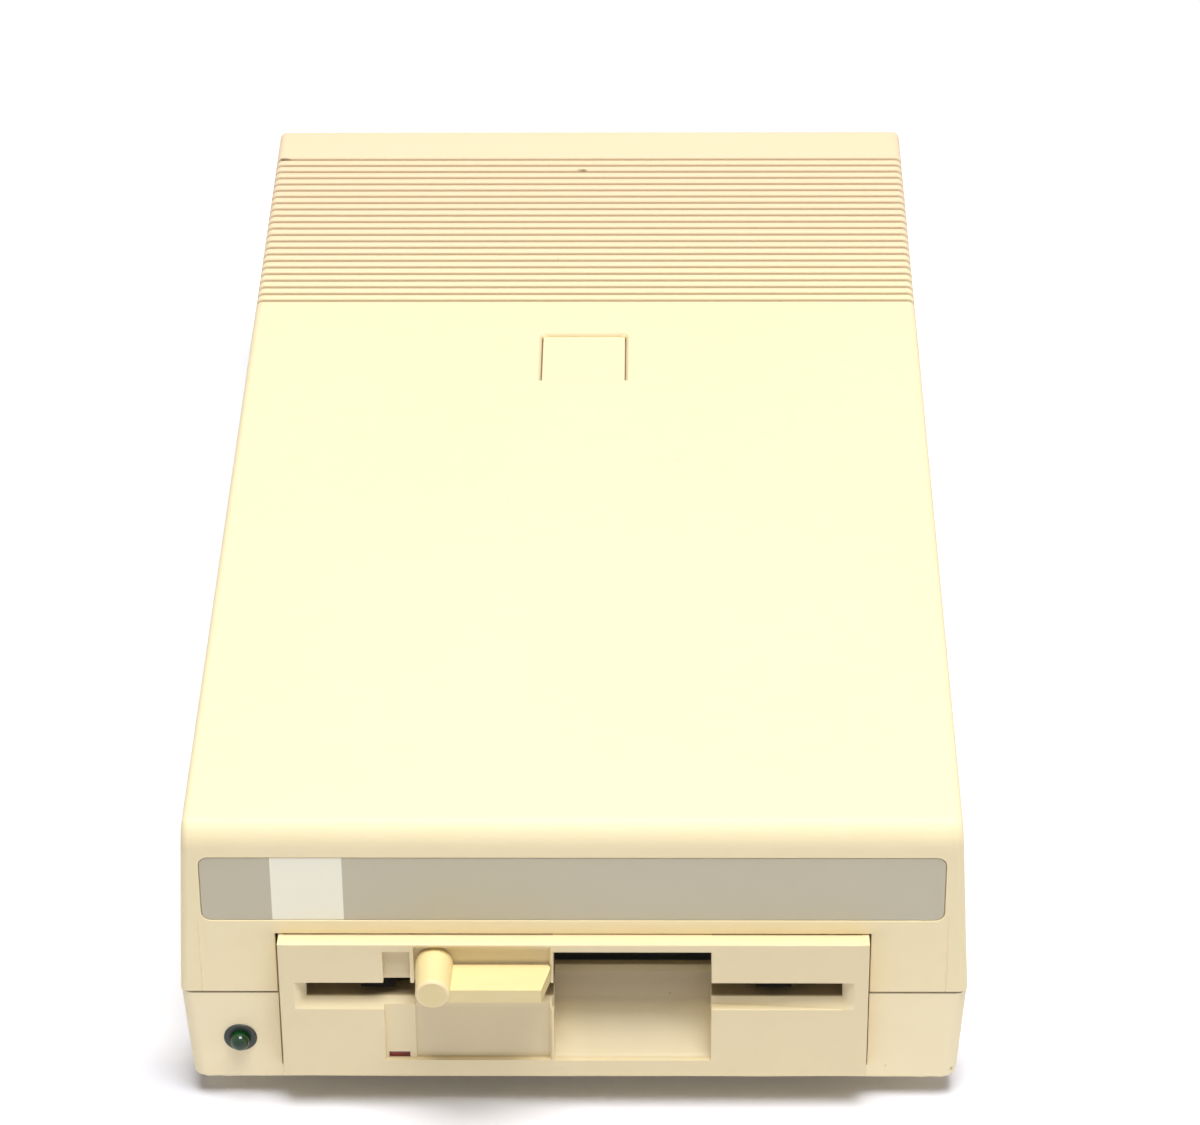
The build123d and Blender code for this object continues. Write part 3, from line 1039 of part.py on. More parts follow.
# ---------------------------------------------------------------- transformer
CORE_LEFT = 16.0
CORE_RIGHT = 72.0
CORE_FRONT = 294.0
CORE_REAR = 322.0
CORE_TOP = WALL + 47.0
COIL_GAP = 9.0
COIL_WINDOW = 9.5
COIL_PLAY = 0.2
core = block(CORE_LEFT, CORE_RIGHT, CORE_FRONT, CORE_REAR, WALL, CORE_TOP)
for x in (CORE_LEFT + COIL_GAP, CORE_RIGHT - COIL_GAP - COIL_WINDOW):
    core -= block(x, x + COIL_WINDOW, CORE_FRONT - OVERRUN, CORE_REAR + OVERRUN, WALL + COIL_GAP,
                  CORE_TOP - COIL_GAP)
save("transformer_core", core)
coil_low = WALL + COIL_GAP + COIL_PLAY
coil_high = CORE_TOP - COIL_GAP - COIL_PLAY
coil_plan = RectangleRounded(37, 46, 6)
coil_limb = Rectangle(CORE_RIGHT - CORE_LEFT - 2 * (COIL_GAP + COIL_WINDOW), CORE_REAR - CORE_FRONT)
coil_centre = Pos((CORE_LEFT + CORE_RIGHT) / 2, (CORE_FRONT + CORE_REAR) / 2)
save("transformer_coil", along_z(coil_centre * (coil_plan - coil_limb), coil_low, coil_high))

# Strap over the core, with a drilled tab at each side
STRAP_INSET = 5.0
TAB_REACH = 10.0
TAB_HOLE = 6.0
TAB_HOLE_RADIUS = 1.7
strap_front = CORE_FRONT + STRAP_INSET
strap_rear = CORE_REAR - STRAP_INSET
strap = block(CORE_LEFT - SHEET, CORE_RIGHT + SHEET, strap_front, strap_rear, WALL, CORE_TOP + SHEET)
strap += block(CORE_LEFT - TAB_REACH, CORE_RIGHT + TAB_REACH, strap_front, strap_rear, WALL, lip_top)
strap -= block(CORE_LEFT, CORE_RIGHT, CORE_FRONT, CORE_REAR, WALL - OVERRUN, CORE_TOP)
for x in (CORE_LEFT - TAB_HOLE, CORE_RIGHT + TAB_HOLE):
    strap -= bar_z(x, (CORE_FRONT + CORE_REAR) / 2, TAB_HOLE_RADIUS, WALL - OVERRUN, lip_top + OVERRUN)
save("transformer_bracket", strap)

# ---------------------------------------------------------------- rear panel and what it carries
SWITCH_X = 58.0
DIN_X = (24.0, -6.0)
FUSE_X = -31.0
INLET_X = -59.0
PANEL_TOP = 49.0
PANEL_HALF = 79.0
panel_profile = Pos(0, (WALL + PANEL_TOP) / 2) * Rectangle(2 * PANEL_HALF, PANEL_TOP - WALL)

# Rocker switch
SWITCH_CAVITY_X = 7.5
SWITCH_CAVITY_Z = 11.5
SWITCH_SKIN = 1.5
SWITCH_FLANGE = 2.0
SWITCH_LIP = 1.5
SWITCH_BACK = PANEL_Y - 14.0
SWITCH_FLOOR = PANEL_Y - 12.0
ROCKER_PIVOT_Y = PANEL_FACE - 1.0
ROCKER_TILT = 12.0
ROCKER_AXLE_RADIUS = 1.5
SOCKET_SKIN = 0.4
AXLE_SHORT = 0.7
ROCKER_PLAY = 0.3


def at_switch(half_x, half_z, y0, y1):
    """Box round the middle of the switch."""
    return block(SWITCH_X - half_x, SWITCH_X + half_x, y0, y1, CONNECTOR_Z - half_z, CONNECTOR_Z + half_z)


body_x = SWITCH_CAVITY_X + SWITCH_SKIN
body_z = SWITCH_CAVITY_Z + SWITCH_SKIN
flange_end = PANEL_FACE + SWITCH_FLANGE
flange_plate = RectangleRounded(2 * (body_x + SWITCH_LIP), 2 * (body_z + SWITCH_LIP), SWITCH_LIP)
socket_x = body_x - SOCKET_SKIN
switch_frame = at_switch(body_x, body_z, SWITCH_BACK, PANEL_FACE)
switch_frame += along_y(Pos(SWITCH_X, CONNECTOR_Z) * flange_plate, PANEL_FACE, flange_end)
switch_frame -= at_switch(SWITCH_CAVITY_X, SWITCH_CAVITY_Z, SWITCH_FLOOR, flange_end + OVERRUN)
switch_frame -= bar_x(ROCKER_PIVOT_Y, CONNECTOR_Z, ROCKER_AXLE_RADIUS + RUNNING_FIT, SWITCH_X - socket_x,
                      SWITCH_X + socket_x)
save("switch_frame", switch_frame)

# The rocker's face is hollow, so that one end stands proud and the other is sunk
ROCKER_HALF_Z = 10.4
ROCKER_PROUD = 4.2
ROCKER_HOLLOW = 2.6
rocker_outline = polygon((-5, -3), (1, -ROCKER_HALF_Z), (ROCKER_PROUD, -ROCKER_HALF_Z), (ROCKER_HOLLOW, 0),
                         (ROCKER_PROUD, ROCKER_HALF_Z), (1, ROCKER_HALF_Z), (-5, 3))
rocker_side = Pos(ROCKER_PIVOT_Y, CONNECTOR_Z) * rocker_outline
rocker_x = SWITCH_CAVITY_X - ROCKER_PLAY
axle_x = body_x - AXLE_SHORT
rocker = along_x(rocker_side, SWITCH_X - rocker_x, SWITCH_X + rocker_x)
rocker += bar_x(ROCKER_PIVOT_Y, CONNECTOR_Z, ROCKER_AXLE_RADIUS, SWITCH_X - axle_x, SWITCH_X + axle_x)
rocker_axis = Axis((0, ROCKER_PIVOT_Y, CONNECTOR_Z), (1, 0, 0))
save("switch_rocker", rocker.rotate(rocker_axis, ROCKER_TILT))
panel_profile -= Pos(SWITCH_X, CONNECTOR_Z) * Rectangle(2 * body_x, 2 * body_z)

# Round serial sockets: a pressed shell with a drilled plate, an insulating insert and seven contacts
DIN_SHELL_OUT = 8.0
DIN_SHELL_IN = 7.2
DIN_INSERT = 5.6
DIN_INSERT_FOOT = 2.5
DIN_BACK = PANEL_Y - 4
DIN_FRONT = PANEL_FACE + 4
DIN_PLATE = (29.0, 18.0, 2.0)
DIN_PLATE_THICK = 1.0
DIN_HOLE_X = 11.2
DIN_HOLE_RADIUS = 1.6
CONTACT_RING = 3.6
CONTACT_RADIUS = 0.8
CONTACT_SUNK = 2.5
contact_back = DIN_BACK + 1
din_shells = []
din_inserts = []
din_contacts = []
for x in DIN_X:
    plate = Pos(x, CONNECTOR_Z) * (RectangleRounded(*DIN_PLATE) - Circle(DIN_SHELL_IN))
    for side in (-1, 1):
        plate -= Pos(x + side * DIN_HOLE_X, CONNECTOR_Z) * Circle(DIN_HOLE_RADIUS)
    shell = along_y(plate, PANEL_FACE, PANEL_FACE + DIN_PLATE_THICK)
    ring = Pos(x, CONNECTOR_Z) * (Circle(DIN_SHELL_OUT) - Circle(DIN_SHELL_IN))
    din_shells.append(shell + along_y(ring, DIN_BACK, DIN_FRONT))
    insert = bar_y(x, CONNECTOR_Z, DIN_SHELL_IN, DIN_BACK, DIN_BACK + DIN_INSERT_FOOT)
    insert += bar_y(x, CONNECTOR_Z, DIN_INSERT, DIN_BACK, DIN_FRONT - 1)
    spots = [(x, CONNECTOR_Z)]
    for angle in range(-30, 211, 60):
        around = radians(angle)
        spots.append((x + CONTACT_RING * cos(around), CONNECTOR_Z + CONTACT_RING * sin(around)))
    for spot_x, spot_z in spots:
        insert -= bar_y(spot_x, spot_z, CONTACT_RADIUS, contact_back, DIN_FRONT)
        din_contacts.append(bar_y(spot_x, spot_z, CONTACT_RADIUS, contact_back, DIN_FRONT - CONTACT_SUNK))
    din_inserts.append(insert)
    panel_profile -= Pos(x, CONNECTOR_Z) * Circle(DIN_SHELL_OUT)
save("din_shells", *din_shells)
save("din_inserts", *din_inserts)
save("din_contacts", *din_contacts)

# Fuse holder with a quarter-turn cap
HOLDER_RADIUS = 6.5
HOLDER_BORE = 5.2
HOLDER_BACK = PANEL_Y - 28
HOLDER_STEP = PANEL_Y - 20
HOLDER_FLOOR = PANEL_Y - 26
HOLDER_FLANGE_RADIUS = 8.5
HOLDER_FLANGE_END = PANEL_FACE + 1.5
holder = turned_y(FUSE_X, CONNECTOR_Z, (0, HOLDER_BACK), (HOLDER_RADIUS - 1, HOLDER_BACK),
                  (HOLDER_RADIUS, HOLDER_STEP), (HOLDER_RADIUS, PANEL_FACE),
                  (HOLDER_FLANGE_RADIUS, PANEL_FACE), (HOLDER_FLANGE_RADIUS, HOLDER_FLANGE_END),
                  (HOLDER_BORE, HOLDER_FLANGE_END),
                  (HOLDER_BORE, HOLDER_FLOOR), (0, HOLDER_FLOOR))
save("fuse_holder", holder)
panel_profile -= Pos(FUSE_X, CONNECTOR_Z) * Circle(HOLDER_RADIUS)

STEM_RADIUS = HOLDER_BORE - 0.3
STEM_END = PANEL_Y - 4
CAP_RADIUS = 7.0
CAP_FRONT = HOLDER_FLANGE_END + 0.3
CAP_END = PANEL_FACE + 9.5
CAP_EDGE = 0.6
COIN_SLOT_LENGTH = 8.0
COIN_SLOT_WIDTH = 1.2
FUSE_RADIUS = 2.6
FUSE_BACK = PANEL_Y - 21
FUSE_END = PANEL_Y - 1
cap = turned_y(FUSE_X, CONNECTOR_Z, (0, STEM_END), (STEM_RADIUS, STEM_END), (STEM_RADIUS, CAP_FRONT),
               (CAP_RADIUS, CAP_FRONT), (CAP_RADIUS - CAP_EDGE, CAP_END - CAP_EDGE),
               (CAP_RADIUS - 2 * CAP_EDGE, CAP_END), (0, CAP_END))
coin_slot = Pos(FUSE_X, CONNECTOR_Z) * Rectangle(COIN_SLOT_LENGTH, COIN_SLOT_WIDTH)
cap -= along_y(coin_slot, CAP_END - COIN_SLOT_WIDTH, CAP_END + OVERRUN)
cap -= bar_y(FUSE_X, CONNECTOR_Z, FUSE_RADIUS, STEM_END - OVERRUN, FUSE_END)
save("fuse_cap", cap)
save("fuse", bar_y(FUSE_X, CONNECTOR_Z, FUSE_RADIUS, FUSE_BACK, FUSE_END))

# Mains inlet: a cavity with two corners cut off, and three flat blades
INLET_HALF_X = 12.2
INLET_HALF_Z = 8.4
INLET_CUT = 4.0
INLET_SKIN = 1.4
INLET_FLOOR = PANEL_Y - 11
INLET_FLOOR_THICK = 3.0
INLET_FLANGE = 2.5
INLET_PLATE = (31.0, 24.0, 2.0)
BLADE_X = 7.0
BLADE_DROP = 2.0
BLADE_HALF_X = 1.0
BLADE_HALF_Z = 2.0
BLADE_BACK = INLET_FLOOR - 7
inlet_mouth = polygon((-INLET_HALF_X, -INLET_HALF_Z), (INLET_HALF_X, -INLET_HALF_Z),
                      (INLET_HALF_X, INLET_HALF_Z - INLET_CUT), (INLET_HALF_X - INLET_CUT, INLET_HALF_Z),
                      (INLET_CUT - INLET_HALF_X, INLET_HALF_Z), (-INLET_HALF_X, INLET_HALF_Z - INLET_CUT))
inlet_body = Rectangle(2 * (INLET_HALF_X + INLET_SKIN), 2 * (INLET_HALF_Z + INLET_SKIN))
inlet_at = Pos(INLET_X, CONNECTOR_Z)
inlet = along_y(inlet_at * inlet_body, INLET_FLOOR - INLET_FLOOR_THICK, PANEL_FACE)
inlet += along_y(inlet_at * RectangleRounded(*INLET_PLATE), PANEL_FACE, PANEL_FACE + INLET_FLANGE)
inlet -= along_y(inlet_at * inlet_mouth, INLET_FLOOR, PANEL_FACE + INLET_FLANGE + OVERRUN)
blades = []
for blade_x, blade_z in ((-BLADE_X, -BLADE_DROP), (BLADE_X, -BLADE_DROP), (0, BLADE_DROP)):
    section = inlet_at * Pos(blade_x, blade_z) * Rectangle(2 * BLADE_HALF_X, 2 * BLADE_HALF_Z)
    blades.append(along_y(section, BLADE_BACK, PANEL_FACE - 1))
    inlet -= along_y(section, INLET_FLOOR - INLET_FLOOR_THICK - OVERRUN, INLET_FLOOR + OVERRUN)
save("inlet_housing", inlet)
save("inlet_blades", *blades)
panel_profile -= inlet_at * inlet_body

save("rear_panel", along_y(panel_profile, PANEL_Y, PANEL_FACE))

print("clamp lift angle", round(CLAMP_LIFT_ANGLE, 4))
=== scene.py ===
import json
from math import copysign, cos, radians, tan

import bmesh
import bpy
from mathutils import Matrix, Vector

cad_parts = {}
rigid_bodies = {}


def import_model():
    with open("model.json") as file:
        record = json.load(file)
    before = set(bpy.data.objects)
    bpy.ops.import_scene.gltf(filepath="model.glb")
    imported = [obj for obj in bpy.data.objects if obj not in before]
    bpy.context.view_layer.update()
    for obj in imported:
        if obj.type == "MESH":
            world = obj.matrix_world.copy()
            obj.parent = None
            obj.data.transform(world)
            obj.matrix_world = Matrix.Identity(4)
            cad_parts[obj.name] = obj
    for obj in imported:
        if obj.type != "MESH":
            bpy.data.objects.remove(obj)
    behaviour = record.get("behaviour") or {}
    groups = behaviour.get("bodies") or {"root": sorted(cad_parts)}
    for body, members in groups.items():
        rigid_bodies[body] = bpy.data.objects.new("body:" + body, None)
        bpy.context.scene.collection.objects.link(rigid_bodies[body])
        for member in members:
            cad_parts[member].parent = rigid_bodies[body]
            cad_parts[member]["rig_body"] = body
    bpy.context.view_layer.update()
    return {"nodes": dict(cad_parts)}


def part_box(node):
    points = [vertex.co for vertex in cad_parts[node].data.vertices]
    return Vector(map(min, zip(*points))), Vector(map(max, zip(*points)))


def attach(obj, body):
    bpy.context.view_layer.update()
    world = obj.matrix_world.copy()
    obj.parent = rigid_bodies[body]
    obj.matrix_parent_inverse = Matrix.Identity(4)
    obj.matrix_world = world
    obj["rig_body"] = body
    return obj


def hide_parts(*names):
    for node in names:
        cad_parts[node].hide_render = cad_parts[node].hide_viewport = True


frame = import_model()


# ---- Camera and studio.
# The drive stands on a pale sheet under one broad soft lamp, with even light from all round. The
# camera is a long lens a little over a metre away, looking down on the front of the drive.
CAMERA_PLACE = (0.02096, -1.08241, 0.76310)
CAMERA_DOWN = radians(33.378)
CAMERA_YAW = radians(0.844)
CAMERA_ROLL = radians(-0.460)
LENS_MM = 136.91
SENSOR_MM = 36.0

lens = bpy.data.cameras.new("camera")
lens.lens = LENS_MM
lens.sensor_width = SENSOR_MM
lens.sensor_fit = "HORIZONTAL"
lens.clip_start = 0.01
camera = bpy.data.objects.new("camera", lens)
turn = Matrix.Rotation(CAMERA_YAW, 4, "Z") @ Matrix.Rotation(radians(90) - CAMERA_DOWN, 4, "X")
camera.matrix_world = Matrix.Translation(CAMERA_PLACE) @ turn @ Matrix.Rotation(CAMERA_ROLL, 4, "Z")
bpy.context.scene.collection.objects.link(camera)
bpy.context.scene.camera = camera
bpy.context.scene.view_settings.view_transform = "Standard"


def srgb(red, green, blue):
    """Linear colour of a screen colour given in 0 to 255."""
    linear = [((c / 255 + 0.055) / 1.055) ** 2.4 if c > 10 else c / 3295 for c in (red, green, blue)]
    return (*linear, 1.0)


class Wire:
    """One socket of a node tree. Sums, products and comparisons of wires add their Math nodes."""

    def __init__(self, tree, socket=None):
        self.tree = tree
        self.socket = socket

    def node(self, kind, settings, inputs, output=0):
        """Add any node: its settings first, then the values or wires of its sockets."""
        node = self.tree.nodes.new("ShaderNode" + kind)
        for key, value in settings.items():
            if key == "stops":
                while len(node.color_ramp.elements) < len(value):
                    node.color_ramp.elements.new(0.5)
                for element, (place, colour) in zip(node.color_ramp.elements, value):
                    element.position = place
                    element.color = colour
            else:
                setattr(node, key, value)
        for key, value in inputs.items():
            if isinstance(value, Wire):
                self.tree.links.new(value.socket, node.inputs[key])
            else:
                node.inputs[key].default_value = value
        return Wire(self.tree, node.outputs[output])

    def math(self, operation, *values):
        return self.node("Math", {"operation": operation}, dict(enumerate(values)))

    def __add__(self, other):
        return self.math("ADD", self, other)

    def __sub__(self, other):
        return self.math("SUBTRACT", self, other)

    def __rsub__(self, other):
        return self.math("SUBTRACT", other, self)

    def __mul__(self, other):
        return self.math("MULTIPLY", self, other)

    def __pow__(self, other):
        return self.math("POWER", self, other)

    __radd__ = __add__
    __rmul__ = __mul__

    def step(self, low, high):
        """0 below low, 1 above high, smooth between."""
        return self.node("MapRange", {"interpolation_type": "SMOOTHSTEP"}, {0: self, 1: low, 2: high})

    def noise(self, scale, detail=2.0, output=0):
        return self.node("TexNoise", {}, {"Vector": self, "Scale": scale, "Detail": detail}, output)

    def mixed(self, first, second):
        """Colour between two colours, this wire being the share of the second."""
        return self.node("Mix", {"data_type": "RGBA"}, {0: self, 6: first, 7: second}, 2)


def material(name):
    """New material, with its Principled shader and wires from its own object coordinates."""
    made = bpy.data.materials.new(name)
    made.use_nodes = True
    tree = made.node_tree
    place = Wire(tree).node("TexCoord", {}, {}, 3)
    return made, tree.nodes["Principled BSDF"], place


def plug(shader, name, value):
    """Set one socket of a shader to a value or a wire."""
    if isinstance(value, Wire):
        value.tree.links.new(value.socket, shader.inputs[name])
    else:
        shader.inputs[name].default_value = value


FLOOR_SIZE = 6.0
FLOOR_COLOUR = srgb(236, 236, 244)
WHITE = (1.0, 1.0, 1.0, 1.0)
BLACK = (0.0, 0.0, 0.0, 1.0)
sheet_mesh = bpy.data.meshes.new("floor")
sheet = bmesh.new()
bmesh.ops.create_grid(sheet, x_segments=1, y_segments=1, size=FLOOR_SIZE / 2)
sheet.to_mesh(sheet_mesh)
sheet.free()
floor = bpy.data.objects.new("floor", sheet_mesh)
bpy.context.scene.collection.objects.link(floor)
paper, paper_shader, paper_place = material("paper")
plug(paper_shader, "Base Color", paper_place.noise(3.0).mixed(FLOOR_COLOUR, srgb(239, 239, 245)))
plug(paper_shader, "Roughness", 0.95)
# To the camera the sheet is lit from below as well, beside and behind the drive.
GLOW_START = -0.172
GLOW_FULL = -0.145
SHEET_GLOW = 0.3
behind = paper_place.node("SeparateXYZ", {}, {"Vector": paper_place}, 1).step(GLOW_START, GLOW_FULL)
to_camera = paper_place.node("LightPath", {}, {}, 0)
plug(paper_shader, "Emission Color", (behind * to_camera * SHEET_GLOW).mixed(BLACK, WHITE))
plug(paper_shader, "Emission Strength", 1.0)
plug(paper_shader, "Specular IOR Level", 0.1)
sheet_mesh.materials.append(paper)

# The even light is strongest from both sides, and a little stronger from the front than from above.
WORLD_LIGHT = 0.11
SIDE_LIGHT = 0.30
FRONT_LIGHT = 0.045
world = bpy.data.worlds.new("studio")
bpy.context.scene.world = world
world.use_nodes = True
seen = Wire(world.node_tree).node("LightPath", {}, {})
rays = seen.socket.node.outputs
straight = Wire(world.node_tree, rays["Is Camera Ray"])
mirrored = Wire(world.node_tree, rays["Is Glossy Ray"])
through = Wire(world.node_tree, rays["Is Transmission Ray"])
shown = straight.math("MAXIMUM", straight, mirrored.math("MAXIMUM", mirrored, through))
direction = seen.node("TexCoord", {}, {}, 0)
sideways = direction.node("SeparateXYZ", {}, {"Vector": direction}, 0)
forward = direction.node("SeparateXYZ", {}, {"Vector": direction}, 1) * -1.0
forward = forward.math("MAXIMUM", forward, 0.0)
even_light = sideways * sideways * SIDE_LIGHT + forward * forward * FRONT_LIGHT + WORLD_LIGHT
sky = world.node_tree.nodes["Background"]
plug(sky, "Color", WHITE)
plug(sky, "Strength", (1.0 - shown) * even_light + shown)

LAMP_PLACE = Vector((0.12, -0.405, 1.5))
LAMP_SIZE = 0.86
LAMP_POWER = 29.5
lamp = bpy.data.lights.new("broad_lamp", "AREA")
lamp.size = LAMP_SIZE
lamp.energy = LAMP_POWER
lamp_object = bpy.data.objects.new("broad_lamp", lamp)
aim = LAMP_PLACE.to_track_quat("Z", "Y").to_matrix().to_4x4()
lamp_object.matrix_world = Matrix.Translation(LAMP_PLACE) @ aim
bpy.context.scene.collection.objects.link(lamp_object)


# ---- Upper half of the case.
# One cream ABS moulding with a fine spark-eroded grain. Its rear third is ribbed, the ribs running
# over both side edges; a shallow recess is left for a badge, and the front has one for the label.
MM = 0.001
case_origin = Vector((0.0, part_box("base_shell")[0].y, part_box("base_shell")[0].z))
WALL = 3.0
CORNER = 2.0
CORNER_STEPS = 6
TOP_WIDTH = 194.2

# The front top round is drawn as a circle and then drawn out to how far it reaches back and down.
FRONT_ROUND = 8.0
FRONT_ROUND_STEPS = 12
FRONT_ROUND_REACH = 4.2
FRONT_ROUND_DROP = 7.0


def case_box(node):
    """Lowest and highest corner of a CAD node, in millimetres from the case's lower front edge."""
    low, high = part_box(node)
    return (low - case_origin) / MM, (high - case_origin) / MM


def fill(mesh, bm):
    """Fill a mesh from a drawn one, smooth, its points and faces in the same order in every run."""
    points = sorted(bm.verts, key=lambda vert: [round(c, 7) for c in vert.co])
    rank = {vert: n for n, vert in enumerate(points)}
    faces = []
    for face in bm.faces:
        corners = [rank[vert] for vert in face.verts]
        first = corners.index(min(corners))
        faces.append(corners[first:] + corners[:first])
    mesh.from_pydata([vert.co for vert in points], [], sorted(faces))
    mesh.shade_smooth()


def drawn(bm, name, body, slot, finish, *nodes):
    """Make a mesh drawn in case millimetres a piece of the model, in the CAD nodes' place."""
    bmesh.ops.scale(bm, vec=(MM, MM, MM), verts=bm.verts)
    bmesh.ops.translate(bm, vec=case_origin, verts=bm.verts)
    mesh = bpy.data.meshes.new(name)
    fill(mesh, bm)
    bm.free()
    mesh.materials.append(finish)
    made = bpy.data.objects.new(name, mesh)
    bpy.context.scene.collection.objects.link(made)
    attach(made, body)
    if nodes:
        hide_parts(*nodes)
    return made


def flats(made, angle=35.0):
    """Keep a piece's flat faces flat: edges sharper than the angle stay sharp, the rest are smooth."""
    made.data.set_sharp_from_angle(angle=radians(angle))
    even = made.modifiers.new("flats", "WEIGHTED_NORMAL")
    even.keep_sharp = True
    return made


def round_off(bm, edges, radius, steps):
    """Round edges by a bevel of this many steps."""
    bmesh.ops.bevel(bm, geom=edges, offset=radius, offset_type="OFFSET", segments=steps, profile=0.5,
                    affect="EDGES", material=-1, clamp_overlap=False)


def cut(bm, faces, axis, at):
    """Cut the given faces along a plane square to an axis and give back all that they have become."""
    point = Vector((0, 0, 0))
    point[axis] = at
    normal = Vector((0, 0, 0))
    normal[axis] = 1
    edges = dict.fromkeys(edge for face in faces for edge in face.edges)
    verts = dict.fromkeys(vert for face in faces for vert in face.verts)
    around = [*faces, *edges, *verts]
    done = bmesh.ops.bisect_plane(bm, geom=around, dist=0.0001, plane_co=point, plane_no=normal)
    return [item for item in done["geom"] if isinstance(item, bmesh.types.BMFace)]


def window(bm, faces, low, high):
    """Cut the outline of a box into the faces and give back those inside it; None leaves a side open."""
    for axis in range(3):
        for bound in (low[axis], high[axis]):
            if bound is not None:
                faces = cut(bm, faces, axis, bound)
    inside = []
    for face in faces:
        middle = face.calc_center_median()
        above = all(low[a] is None or middle[a] > low[a] for a in range(3))
        if above and all(high[a] is None or middle[a] < high[a] for a in range(3)):
            inside.append(face)
    return inside


def sink(bm, faces, push):
    """Extrude faces, move them by a vector or by a function of place, and give back the moved faces."""
    grown = bmesh.ops.extrude_face_region(bm, geom=faces)["geom"]
    bmesh.ops.delete(bm, geom=faces, context="FACES")
    for vert in [item for item in grown if isinstance(item, bmesh.types.BMVert)]:
        vert.co += push(vert.co) if callable(push) else push
    return [item for item in grown if isinstance(item, bmesh.types.BMFace)]


def ridges(bm, keep, angle=30.0):
    """Outward edges sharper than the angle, among those that keep() accepts."""
    bm.normal_update()
    sharp = [e for e in bm.edges if e.is_manifold and e.calc_face_angle_signed() > radians(angle)]
    return [e for e in sharp if keep(e)]


def facing(bm, axis, sign):
    """Faces that look along one axis."""
    return [face for face in bm.faces if face.normal[axis] * sign > 0.95]


def case_mm(place):
    """Three wires with a place in case millimetres."""
    parts = [place.node("SeparateXYZ", {}, {"Vector": place}, axis) for axis in range(3)]
    return [(part - start) * (1 / MM) for part, start in zip(parts, case_origin)]


def between(wire, low, high, soft):
    """1 where a wire lies between two values, with soft ends."""
    return wire.step(low - soft, low + soft) * (1.0 - wire.step(high - soft, high + soft))


def bumps(shader, heights, deep, strength=0.5):
    """Give a shader a fine relief from a wire of heights, this many millimetres deep."""
    relief = {"Strength": strength, "Distance": deep * MM, "Height": heights}
    plug(shader, "Normal", heights.node("Bump", {}, relief))


# Dark colour of dust, and of painted shade in grooves, gaps and recesses.
DIRT_AND_SHADE_COLOUR = srgb(88, 66, 42)
# Second tone: deeper and warmer on the cover's rear top, paler as the painted highlight on the knob's end.
SECOND_TONE_COLOUR = srgb(244, 220, 184)


def moulding(name, colour, deep, grain=0.02, roughness=0.42, shine=0.5, marks=(), painted_shade=None, tone_shift=None):
    """Moulded plastic: a colour that wanders a little towards a deeper one, fine grain, rare specks.

    Each mark is a small dark smear: its place in case millimetres, its width along X and its height.
    Of the two functions, the first turns a place in case millimetres into the share there of painted
    shade, in the dark colour that specks and most marks bring as dust; the second turns it into the
    share of a second tone.
    """
    made, shader, place = material(name)
    age = place.noise(9.0, 3.0)
    cloud = place.noise(160.0, 3.0)
    speck = place.noise(430.0, 1.0).step(0.8, 0.83)
    scuff = place.node("Mapping", {}, {"Vector": place, "Scale": (30.0, 260.0, 260.0)}).noise(3.0, 5.0)
    tone = (age.step(0.3, 0.75) * 0.25 + cloud.step(0.35, 0.8) * 0.18).mixed(colour, deep)
    if tone_shift:
        tone = tone_shift(*case_mm(place)).mixed(tone, SECOND_TONE_COLOUR)
    dirt_and_shade = speck * 0.2
    # Painted shade is mixed in with the dust, in the same dark colour.
    if painted_shade:
        dirt_and_shade = dirt_and_shade + painted_shade(*case_mm(place))
    for spot, wide, tall in marks:
        centre = Vector(spot) * MM + case_origin
        size = (1 / (wide * MM), 1 / (tall * MM), 1 / (tall * MM))
        shift = tuple(-c * s for c, s in zip(centre, size))
        near = place.node("Mapping", {}, {"Vector": place, "Location": shift, "Scale": size})
        far = near.node("VectorMath", {"operation": "LENGTH"}, {0: near}, 1)
        dirt_and_shade = dirt_and_shade + (1.0 - (far + place.noise(900.0) * 0.7).step(0.6, 1.3)) * 0.75
    plug(shader, "Base Color", dirt_and_shade.mixed(tone, DIRT_AND_SHADE_COLOUR))
    plug(shader, "Roughness", roughness + scuff.step(0.45, 0.8) * 0.1 + cloud * 0.05)
    plug(shader, "Specular IOR Level", shine)
    bumps(shader, place.noise(3800.0, 2.0) + place.noise(900.0, 2.0) * 0.6, grain)
    return made


cover_low, cover_high = case_box("top_shell")
cover = bmesh.new()
bmesh.ops.create_cube(cover, size=1)
for vert in cover.verts:
    raised = vert.co.z > 0
    vert.co.x *= TOP_WIDTH if raised else cover_high.x - cover_low.x
    vert.co.y = cover_high.y if vert.co.y > 0 else cover_low.y
    vert.co.z = cover_high.z if raised else cover_low.z
top_edges = [e for e in cover.edges if all(v.co.z > cover_high.z - 1 for v in e.verts)]
round_off(cover, [e for e in top_edges if all(v.co.y < 1 for v in e.verts)], FRONT_ROUND, FRONT_ROUND_STEPS)
for vert in cover.verts:
    if vert.co.y < FRONT_ROUND + 0.1:
        vert.co.y *= FRONT_ROUND_REACH / FRONT_ROUND
        if vert.co.z > cover_high.z - FRONT_ROUND - 0.1:
            vert.co.z = cover_high.z - (cover_high.z - vert.co.z) * FRONT_ROUND_DROP / FRONT_ROUND
bmesh.ops.delete(cover, geom=[f for f in cover.faces if f.normal.z < -0.9], context="FACES")
sides = {f for f in cover.faces if abs(f.normal.x) > 0.9}
rims = [e for e in cover.edges if len(e.link_faces) == 2 and sides.intersection(e.link_faces)]
top_edges = [e for e in cover.edges if all(v.co.z > cover_high.z - 1 for v in e.verts)]
rims += [e for e in top_edges if all(v.co.y > cover_high.y - 1 for v in e.verts)]
round_off(cover, list(dict.fromkeys(rims)), CORNER, CORNER_STEPS)

